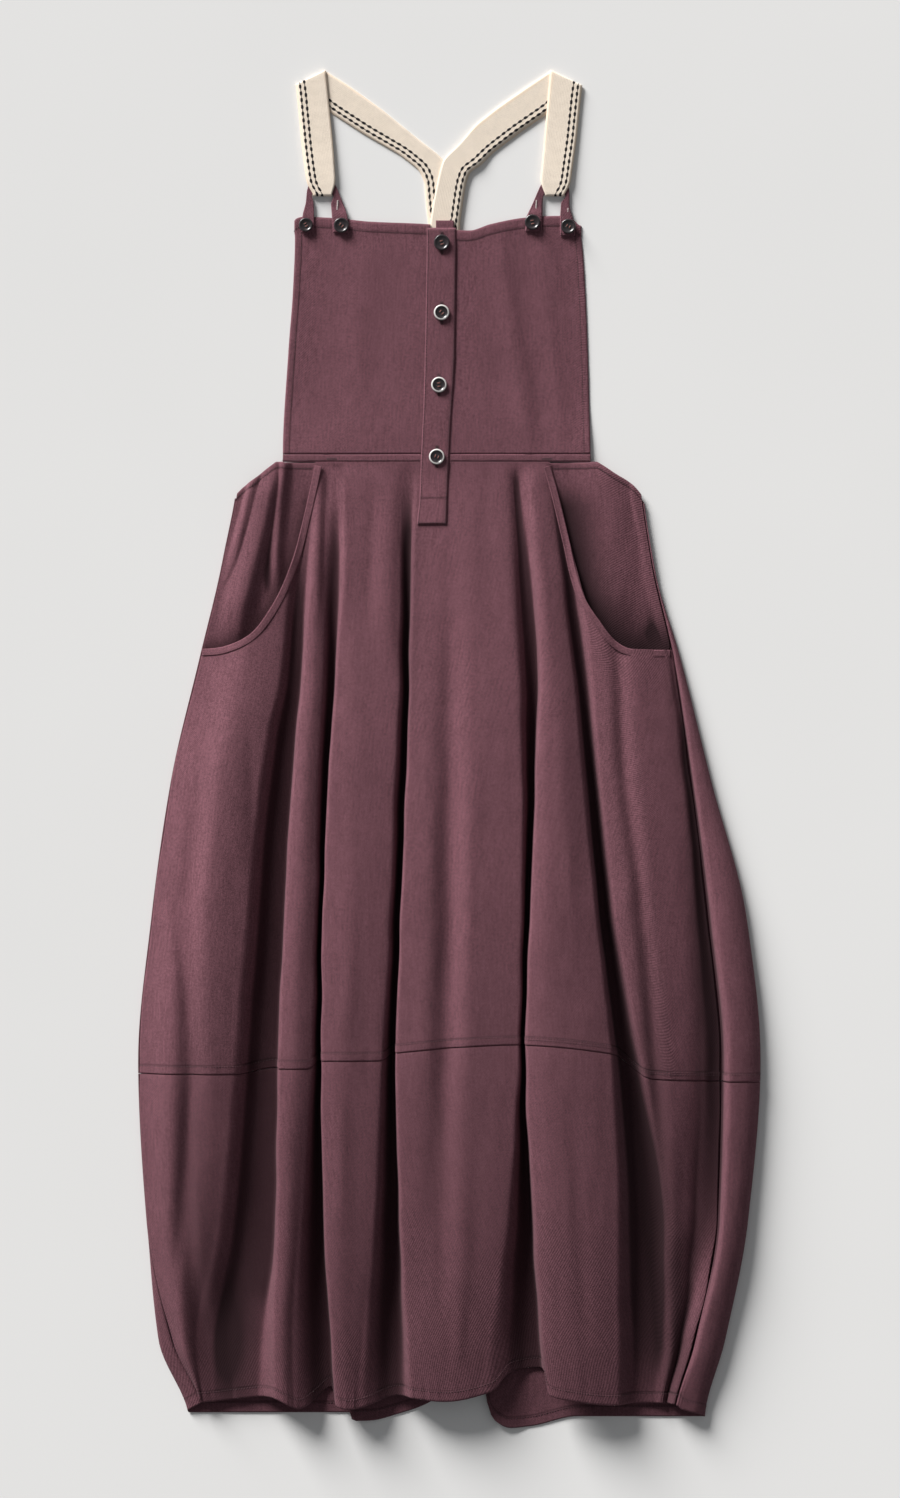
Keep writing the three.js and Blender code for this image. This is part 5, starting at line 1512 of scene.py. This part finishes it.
def make_placket(twill):
    skirt, _ = folds()
    rows, columns = PLACKET_GRID
    rise = mix(PLACKET_TOP, PLACKET_FOOT, np.linspace(0, 1, rows))[:, None]
    shares = np.linspace(0, 1, columns)[None, :]
    uneven = 0.35 * noise(rise / 26, 0.5, 81)
    x = mix(placket_left(rise), placket_right(rise), shares) + uneven
    rise = rise + 0 * x
    below = bib_height(x, np.maximum(rise, 0))
    on_skirt = rise[:, 0] < 0
    low_x = x[on_skirt]
    below[on_skirt] = np.maximum(bib_height(low_x, 0 * low_x), skirt.height(low_x, -rise[on_skirt]))
    grid = to_metres(x, -rise, below + CLOTH_STEP + PLACKET_LIFT)
    width = placket_right(rise) - placket_left(rise)
    from_side = np.minimum(shares, 1 - shares) * width
    from_end = np.minimum(PLACKET_TOP - rise, rise - PLACKET_FOOT)
    from_edge = np.minimum(from_side, from_end)
    relief = 0.7 * soften(from_edge / 1.8) - 0.3
    near_stitch = close_to(from_side, 4.5, 3) + 0.6 * bell((rise - PLACKET_BOX) / 3)
    box = bell((rise - PLACKET_BOX) / 0.8)
    relief = relief - 0.25 * bell((from_side - 2) / 0.9) - 0.4 * box
    relief = relief + 0.3 * near_stitch * puckers(rise, 83, 7) + 0.15 * noise(x / 9, rise / 14, 85)
    for button in PLACKET_BUTTONS:
        away = np.hypot(x - button["x"], rise - button["rise"])
        relief = relief - 0.35 * bell(away / 9)
    # Paler wear at the edges; painted shade at the box stitching and along the side stitching
    wear_and_shade = 0.3 * close_to(from_edge, 1.5, 1.2) - 0.6 * box - 0.35 * bell((from_side - 2) / 0.7)
    piece, outer = shell("placket_cloth", grid, PLACKET_THICKNESS, relief, wear_and_shade, (2, 2))
    cloth_piece(piece, twill, "placket")
    sew("placket", outer[2:, 1])
    sew("placket", outer[2:, -2])
    for level in (PLACKET_BOX, PLACKET_FOOT + 1.6):
        row = int(np.argmin(np.abs(rise[:, 0] - level)))
        sew("placket", outer[row, 1:-1])


# Braces and tabs
def half_turn(row, low, outward, steps=10):
    middle, radius = (row[4] + low) / 2, abs(row[4] - low) / 2
    rows = []
    for k in range(steps + 1):
        angle = math.pi / 2 - k / steps * math.pi
        reach = radius * math.cos(angle)
        dx, dy = outward[0] * reach, outward[1] * reach
        rows.append((row[0] + dx, row[1] + dy, row[2] + dx, row[3] + dy, middle + radius * math.sin(angle)))
    return rows


def smooth_rows(rows, pitch, bend=4):
    """Stations of a ribbon at an even pitch, along a smooth path through the given ones."""
    table = np.array(rows, float)
    middle = (table[:, 0:2] + table[:, 2:4]) / 2
    arc = np.concatenate([[0], np.cumsum(np.linalg.norm(np.diff(middle, axis=0), axis=1))])
    made = [rounded(arc, table[:, c], table[:, 4], bend)[1:] for c in range(4)]
    even_arc = rounded(arc, table[:, 0], table[:, 4], bend)[0]
    at = np.linspace(0, arc[-1], max(3, int(arc[-1] / pitch)))
    columns = [x for x, _ in made] + [made[0][1]]
    return np.stack([np.interp(at, even_arc, column) for column in columns], axis=1)


def tape_rows(tape):
    x0, y0, x1, y1, _ = tape["top_turn"]
    length = math.hypot(x1 - x0, y1 - y0)
    side = math.copysign(1, x1 - x0)
    outward = (-side * (y1 - y0) / length, side * (x1 - x0) / length)
    top = half_turn(tape["top_turn"], TAPE_RESTING, outward)
    bottom = half_turn(tape["loop_turn"], TAPE_RESTING, (0, -1))[::-1]
    parts = [
        smooth_rows(tape["loop"] + [bottom[0]], 2.2)[:-1],
        np.array(bottom),
        smooth_rows([bottom[-1]] + tape["front"] + [top[0]], 2.2)[1:-1],
        np.array(top),
        smooth_rows([top[-1]] + tape["back"], 2.4)[1:],
    ]
    return np.concatenate(parts)


def ribbon(rows, count):
    shares = np.linspace(0, 1, count)[None, :]
    x = mix(rows[:, 0:1], rows[:, 2:3], shares)
    rise = mix(rows[:, 1:2], rows[:, 3:4], shares)
    return x, rise, rows[:, 4:5] + 0 * x, shares


def make_braces(colours, sizes):
    woven = tape_material(colours, sizes)
    for name, tape, rests in (
        ("left", LEFT_TAPE, "the surface it lies on"), ("right", RIGHT_TAPE, "strap_left"),
    ):
        x, rise, z, shares = ribbon(tape_rows(tape), TAPE_COLUMNS)
        grid = to_metres(x, -rise, z)
        edge = np.minimum(shares, 1 - shares)
        relief = -0.28 * (1 - soften(edge / 0.06)) + 0 * x
        piece, _ = shell(f"strap_{name}_tape", grid, TAPE, relief, 0.0, (1, 2))
        cloth_piece(piece, woven, f"strap_{name}")


def make_tabs(colours):
    twill = twill_material(colours)
    for name, rows in (("left", LEFT_TAB), ("right", RIGHT_TAB)):
        rows = [(*row, TAB_HEIGHT) for row in rows]
        x, rise, z, shares = ribbon(smooth_rows(rows, 1.2, 1.6), TAB_COLUMNS)
        on_bib = bib_height(x, rise) + CLOTH_STEP + BAND_RAISE
        z = np.maximum(z, mix(z, on_bib, close_to(rise, 256, 10)))
        grid = to_metres(x, -rise, z)
        run = np.arange(len(x))[:, None] * 1.4
        edge = np.minimum(shares, 1 - shares) * 13
        relief = 0.5 * soften(edge / 1.8) - 0.25 + 0.12 * puckers(run, 91, 6)
        wear_and_shade = 0.5 * close_to(edge, 1.6, 1.2) + 0 * run
        piece, outer = shell(f"tab_{name}_cloth", grid, CLOTH, relief, wear_and_shade)
        cloth_piece(piece, twill, f"tab_{name}")
        sew("tabs", outer[1:-1, 1])
        sew("tabs", outer[1:-1, -2])
        for row in (2, -3):
            sew("tabs", outer[row, 1:-1])


# Buttons: sections as shares of the radius and the height, and parts of the holes and thread
BUTTON_SECTION = [
    (0.0, 0.0), (0.72, 0.0), (0.9, 0.1), (0.985, 0.32), (1.0, 0.55), (0.985, 0.76), (0.94, 0.92),
    (0.875, 1.0), (0.8, 0.985), (0.745, 0.9), (0.7, 0.74), (0.62, 0.64), (0.45, 0.59),
    (0.25, 0.57), (0.0, 0.565),
]
BUTTON_TURNS = 40
PALE_SHARE = 0.8
FACE_SHARE = 0.57
HOLE_SPREAD = 0.21
HOLE_RADIUS = 0.95
HOLE_DEPTH = 0.32
HOLE_TURNS = 12
STRAND_LIFT = 0.5
STRAND_WIDTH = 0.55
STRAND_SHIFT = 0.22
DARK, PALE, HOLE_SHADE, THREAD = range(4)
HOLE_RIM = [(0.0, -0.25), (0.8, -0.25), (1.0, 0.4), (0.78, 0.55), (0.66, 0.3), (0.0, 0.12)]


def lathe(section, radius, height, centre, turns):
    """Closed turned form, as points and faces."""
    points = [(centre[0], centre[1], centre[2] + section[0][1] * height)]
    rings = section[1:-1]
    for out, up in rings:
        for k in range(turns):
            angle = 2 * math.pi * k / turns
            points.append((
                centre[0] + radius * out * math.cos(angle),
                centre[1] + radius * out * math.sin(angle),
                centre[2] + up * height,
            ))
    points.append((centre[0], centre[1], centre[2] + section[-1][1] * height))
    faces, shares = [], []
    last = len(points) - 1
    for k in range(turns):
        n = (k + 1) % turns
        faces.append((0, 1 + n, 1 + k))
        shares.append(0)
        for r in range(len(rings) - 1):
            a, b = 1 + r * turns, 1 + (r + 1) * turns
            faces.append((a + k, a + n, b + n, b + k))
            shares.append((rings[r][0] + rings[r + 1][0]) / 2 if rings[r][1] > 0.05 else 0)
        a = 1 + (len(rings) - 1) * turns
        faces.append((a + k, a + n, last))
        shares.append(0)
    return points, faces, shares


def bar(start, end, lift, width, sides=6, steps=5):
    """Short arched strand of thread between two points."""
    start, end = np.array(start), np.array(end)
    run = end - start
    side = np.cross(run, [0, 0, 1])
    side /= np.linalg.norm(side)
    points, faces = [], []
    for k in range(steps + 1):
        t = k / steps
        middle = start + run * t + np.array([0, 0, lift * math.sin(math.pi * t)])
        for s in range(sides):
            angle = 2 * math.pi * s / sides
            out = side * math.cos(angle) + np.array([0, 0, math.sin(angle)])
            points.append(tuple(middle + width / 2 * out))
    for k in range(steps):
        for s in range(sides):
            n = (s + 1) % sides
            a, b = k * sides, (k + 1) * sides
            faces.append((a + s, b + s, b + n, a + n))
    faces.append(tuple(range(sides)))
    faces.append(tuple(range(steps * sides + sides - 1, steps * sides - 1, -1)))
    return points, faces


def make_button(name, button, seat, materials):
    radius = button["diameter"] / 2 * MM
    centre = to_metres(np.array(button["x"]), np.array(-button["rise"]), np.array(seat)).tolist()
    height = BUTTON_HEIGHT * MM
    points, faces, shares = lathe(BUTTON_SECTION, radius, height, centre, BUTTON_TURNS)
    slots = [PALE if button["pale_rim"] and share > PALE_SHARE else DARK for share in shares]
    face_top = centre[2] + FACE_SHARE * height

    def add(more_points, more_faces, more_slots):
        start = len(points)
        points.extend(more_points)
        faces.extend(tuple(start + v for v in face) for face in more_faces)
        slots.extend(more_slots)

    spread_out = HOLE_SPREAD * radius
    corners = []
    for k in range(4):
        angle = button["turn"] + math.pi / 2 * k + math.pi / 4
        corners.append((
            centre[0] + spread_out * math.sqrt(2) * math.cos(angle),
            centre[1] + spread_out * math.sqrt(2) * math.sin(angle),
            face_top + 0.02 * MM,
        ))
    for corner in corners:
        ring_points, ring_faces, ring_shares = lathe(
            HOLE_RIM, HOLE_RADIUS * MM, HOLE_DEPTH * MM, corner, HOLE_TURNS,
        )
        # Each hole's rim takes the button's colour, its floor a near-black painted shade
        add(ring_points, ring_faces, [DARK if share > 0.7 else HOLE_SHADE for share in ring_shares])
    for a, b in ((0, 1), (3, 2)):
        for shift in (-STRAND_SHIFT, STRAND_SHIFT):
            across = np.cross(np.array(corners[b]) - np.array(corners[a]), [0, 0, 1])
            across = across / np.linalg.norm(across) * shift * MM
            ends = corners[a] + across, corners[b] + across
            strand, sides = bar(*ends, STRAND_LIFT * MM, STRAND_WIDTH * MM)
            add(strand, sides, [THREAD] * len(sides))
    mesh = bpy.data.meshes.new(name)
    mesh.from_pydata([tuple(p) for p in points], [], faces)
    mesh.polygons.foreach_set("use_smooth", [True] * len(mesh.polygons))
    for material in materials:
        mesh.materials.append(material)
    mesh.polygons.foreach_set("material_index", slots)
    mesh.update()
    piece = placed(name + "_detailed", mesh)
    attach(piece, "root")
    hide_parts(name)


def make_buttons(colours):
    dark = button_material("dark_button", colours.button, 0.28, 1.2)
    pale = button_material("pale_rim", colours.button_rim, 0.35, 0.1)
    # The near-black hole material is painted shade, standing in for the depth of the holes
    hole_shade = button_material("button_hole_shade", (0.02, 0.018, 0.02), 0.6, 0.3)
    thread = thread_material("button_thread", colours.button_thread)
    for prefix, table in (("button_placket", PLACKET_BUTTONS), ("button_tab", TAB_BUTTONS)):
        for k, button in enumerate(table):
            name = f"{prefix}_{k + 1}"
            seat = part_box(name)[0].z / MM
            make_button(name, button, seat, [dark, pale, hole_shade, thread])


# Where the closer stitching lies, in millimetres, and its stitches in metres
BUTTONHOLE_REACH = 11
BUTTONHOLE_STITCH = {"Pitch": 0.00055, "Length": 0.0015, "Width": 0.0005, "Turned": math.pi / 2, "Seed": 17}
SLITS = [(-112.2, 261, 252), (86.5, 261, 253), (118.2, 253, 250)]
SLIT_STITCH = {"Pitch": 0.0007, "Length": 0.0019, "Width": 0.0008, "Turned": math.pi / 2, "Seed": 19}
TACK_PLACES = (-118, 97)
TACK_DROPS = (-3.1, -1.9)
TACK_HEIGHT = 8.2
TACK_REACH = 5
TACK_STITCH = {"Pitch": 0.0006, "Length": 0.0017, "Width": 0.0005, "Turned": math.pi / 2, "Seed": 21}


def make_stitching(colours, sizes):
    thread = thread_material("sewing_thread", colours.thread)
    values = {"Pitch": sizes.stitch_pitch, "Length": sizes.stitch_length, "Width": 0.00065}
    for seed, (group, lines) in enumerate(LINES.items()):
        stitched(f"stitching_{group}", lines, thread, {**values, "Seed": seed + 3})

    bars = []
    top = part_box("placket")[1].z / MM
    for k, button in enumerate(PLACKET_BUTTONS):
        height = min(top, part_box(f"button_placket_{k + 1}")[0].z / MM) - 0.05
        for side in (-1, 1):
            x = button["x"] + side * 0.8
            ends = (button["rise"] - BUTTONHOLE_REACH, button["rise"] + BUTTONHOLE_REACH)
            bars.append([to_metres(x, -rise, height) for rise in ends])
    stitched("buttonholes", bars, thread, BUTTONHOLE_STITCH)

    height = TAB_HEIGHT + CLOTH / 2 + 0.3
    slits = [[to_metres(x, -start, height), to_metres(x - 0.5, -end, height)] for x, start, end in SLITS]
    stitched("tab_slits", slits, thread_material("pale_thread", (0.82, 0.78, 0.77)), SLIT_STITCH)

    tacks = [
        [to_metres(x + reach, drop, TACK_HEIGHT) for reach in (-TACK_REACH, TACK_REACH)]
        for x in TACK_PLACES for drop in TACK_DROPS
    ]
    stitched("bar_tacks", tacks, thread, TACK_STITCH)


# Stage
FLOOR_LEVEL = -0.0002
SUN_FROM = (-0.58, 0.84, 0.34)
SUN_STRENGTH = 7.6
SUN_ANGLE = 27
SKY_STRENGTH = 0.21
CAMERA_HEIGHT = 4.2
CAMERA_OVER = (0.0008, -0.0008)
PHOTO_LENGTH = 1.498


def make_stage(colours):
    floor_mesh = bpy.data.meshes.new("floor")
    corners = [(-6, -6), (6, -6), (6, 6), (-6, 6)]
    floor_mesh.from_pydata([(x, y, FLOOR_LEVEL) for x, y in corners], [], [(0, 1, 2, 3)])
    floor = placed("floor", floor_mesh)
    material, m = new_material("pale_floor")
    place = m.add("ShaderNodeTexCoord").outputs["Object"]
    base = linear(colours.floor)
    tone = m.ramp(m.noise(place, 3.0), (0.3, tint(base, 0.985)), (0.7, base))
    m.finish({"Base Color": tone, "Roughness": 0.9, "Specular IOR Level": 0.1})
    floor_mesh.materials.append(material)

    sun = bpy.data.lights.new("key", "SUN")
    sun.energy = SUN_STRENGTH
    sun.angle = math.radians(SUN_ANGLE)
    sun.color = (1.0, 0.985, 0.965)
    lamp = placed("key", sun)
    lamp.rotation_euler = Vector(SUN_FROM).to_track_quat("Z", "Y").to_euler()
    world = bpy.data.worlds.new("studio")
    world.use_nodes = True
    sky = world.node_tree.nodes["Background"].inputs
    sky["Color"].default_value = (0.97, 0.985, 1.0, 1)
    sky["Strength"].default_value = SKY_STRENGTH
    scene = bpy.context.scene
    scene.world = world
    scene.view_settings.view_transform = "Standard"

    lens = bpy.data.cameras.new("camera")
    lens.sensor_width = 36
    lens.lens = 36 * CAMERA_HEIGHT / PHOTO_LENGTH
    lens.clip_start = 0.1
    camera = placed("camera", lens)
    camera.location = (*CAMERA_OVER, CAMERA_HEIGHT)
    scene.camera = camera


# Settings
class PinaforeSizes(bpy.types.PropertyGroup):
    """Sizes that the dress is made with"""

    mesh_spacing: bpy.props.FloatProperty(
        name="Mesh spacing", description="Distance between the skirt's columns of points",
        default=0.0016, unit="LENGTH",
    )
    fold_rounding: bpy.props.FloatProperty(
        name="Fold rounding", description="How far the edge of a fold is rounded",
        default=0.0015, unit="LENGTH",
    )
    stitch_pitch: bpy.props.FloatProperty(
        name="Stitch pitch", description="Distance from one stitch to the next",
        default=0.0028, unit="LENGTH",
    )
    stitch_length: bpy.props.FloatProperty(
        name="Stitch length", description="Length of a stitch that shows", default=0.0021, unit="LENGTH",
    )
    dash_pitch: bpy.props.FloatProperty(
        name="Dash pitch", description="Distance from one woven dash of the braces to the next",
        default=0.0068, unit="LENGTH",
    )
    dash_length: bpy.props.FloatProperty(
        name="Dash length", description="Length of a woven dash of the braces", default=0.0046, unit="LENGTH",
    )


class PinaforeColours(bpy.types.PropertyGroup):
    """Colours of the dress and its trims"""

    cloth: bpy.props.FloatVectorProperty(
        name="Cloth", description="Dusky plum of the twill", subtype="COLOR", default=(0.42, 0.278, 0.312),
    )
    thread: bpy.props.FloatVectorProperty(
        name="Thread", description="Sewing thread", subtype="COLOR", default=(0.24, 0.13, 0.16),
    )
    tape: bpy.props.FloatVectorProperty(
        name="Tape", description="Ecru of the braces", subtype="COLOR", default=(0.94, 0.885, 0.82),
    )
    button: bpy.props.FloatVectorProperty(
        name="Buttons", description="Dark button blanks", subtype="COLOR", default=(0.12, 0.1, 0.11),
    )
    button_rim: bpy.props.FloatVectorProperty(
        name="Pale rims", description="Rims of three placket buttons",
        subtype="COLOR", default=(0.78, 0.77, 0.76),
    )
    button_thread: bpy.props.FloatVectorProperty(
        name="Button thread", description="Thread through the buttons",
        subtype="COLOR", default=(0.56, 0.36, 0.33),
    )
    floor: bpy.props.FloatVectorProperty(
        name="Floor", description="Pale floor", subtype="COLOR", default=(0.905, 0.905, 0.905),
    )


# Operators
class PINAFORE_OT_stage(bpy.types.Operator):
    """Floor, light and camera"""

    bl_idname = "pinafore.stage"
    bl_label = "Stage"

    def execute(self, context):
        make_stage(context.scene.pinafore_colours)
        return {"FINISHED"}


class PINAFORE_OT_back(bpy.types.Operator):
    """Back of the skirt, upper and lower panel"""

    bl_idname = "pinafore.back"
    bl_label = "Back of the skirt"

    def execute(self, context):
        make_back(context.scene.pinafore_colours)
        return {"FINISHED"}


class PINAFORE_OT_hips(bpy.types.Operator):
    """Hip panels inside the pocket mouths"""

    bl_idname = "pinafore.hips"
    bl_label = "Hip panels"

    def execute(self, context):
        make_hips(context.scene.pinafore_colours)
        return {"FINISHED"}


class PINAFORE_OT_front(bpy.types.Operator):
    """Folded front of the skirt, upper and lower panel"""

    bl_idname = "pinafore.front"
    bl_label = "Front of the skirt"

    def execute(self, context):
        make_front(context.scene.pinafore_colours)
        return {"FINISHED"}


class PINAFORE_OT_bindings(bpy.types.Operator):
    """Bindings round the pocket mouths"""

    bl_idname = "pinafore.bindings"
    bl_label = "Pocket bindings"

    def execute(self, context):
        make_bindings(context.scene.pinafore_colours)
        return {"FINISHED"}


class PINAFORE_OT_braces(bpy.types.Operator):
    """Woven tape braces"""

    bl_idname = "pinafore.braces"
    bl_label = "Braces"

    def execute(self, context):
        make_braces(context.scene.pinafore_colours, context.scene.pinafore_sizes)
        return {"FINISHED"}


class PINAFORE_OT_bib(bpy.types.Operator):
    """Bib halves, button stand, waist band and placket"""

    bl_idname = "pinafore.bib"
    bl_label = "Bib and placket"

    def execute(self, context):
        make_bib(context.scene.pinafore_colours)
        return {"FINISHED"}


class PINAFORE_OT_tabs(bpy.types.Operator):
    """Button tabs through the loops of the braces"""

    bl_idname = "pinafore.tabs"
    bl_label = "Button tabs"

    def execute(self, context):
        make_tabs(context.scene.pinafore_colours)
        return {"FINISHED"}


class PINAFORE_OT_buttons(bpy.types.Operator):
    """Four-hole buttons with their thread"""

    bl_idname = "pinafore.buttons"
    bl_label = "Buttons"

    def execute(self, context):
        make_buttons(context.scene.pinafore_colours)
        return {"FINISHED"}


class PINAFORE_OT_stitching(bpy.types.Operator):
    """Topstitching, buttonholes and bar tacks"""

    bl_idname = "pinafore.stitching"
    bl_label = "Stitching"

    def execute(self, context):
        make_stitching(context.scene.pinafore_colours, context.scene.pinafore_sizes)
        return {"FINISHED"}


OPERATORS = (
    PINAFORE_OT_stage, PINAFORE_OT_back, PINAFORE_OT_hips, PINAFORE_OT_front, PINAFORE_OT_bindings,
    PINAFORE_OT_braces, PINAFORE_OT_bib, PINAFORE_OT_tabs, PINAFORE_OT_buttons, PINAFORE_OT_stitching,
)


class PINAFORE_PT_panel(bpy.types.Panel):
    """Steps and settings of the dress"""

    bl_idname = "PINAFORE_PT_panel"
    bl_label = "Pinafore dress"
    bl_space_type = "VIEW_3D"
    bl_region_type = "UI"
    bl_category = "Pinafore"

    def draw(self, context):
        for group in (context.scene.pinafore_sizes, context.scene.pinafore_colours):
            for name in group.bl_rna.properties.keys():
                if name not in {"rna_type", "name"}:
                    self.layout.prop(group, name)
        for operator in OPERATORS:
            self.layout.operator(operator.bl_idname)


CLASSES = (PinaforeSizes, PinaforeColours, *OPERATORS, PINAFORE_PT_panel)


def register():
    for item in CLASSES:
        bpy.utils.register_class(item)
    bpy.types.Scene.pinafore_sizes = bpy.props.PointerProperty(type=PinaforeSizes)
    bpy.types.Scene.pinafore_colours = bpy.props.PointerProperty(type=PinaforeColours)


def unregister():
    del bpy.types.Scene.pinafore_sizes
    del bpy.types.Scene.pinafore_colours
    for item in reversed(CLASSES):
        bpy.utils.unregister_class(item)


def main():
    register()
    for operator in OPERATORS:
        group, name = operator.bl_idname.split(".")
        getattr(getattr(bpy.ops, group), name)()


if __name__ == "__main__":
    main()
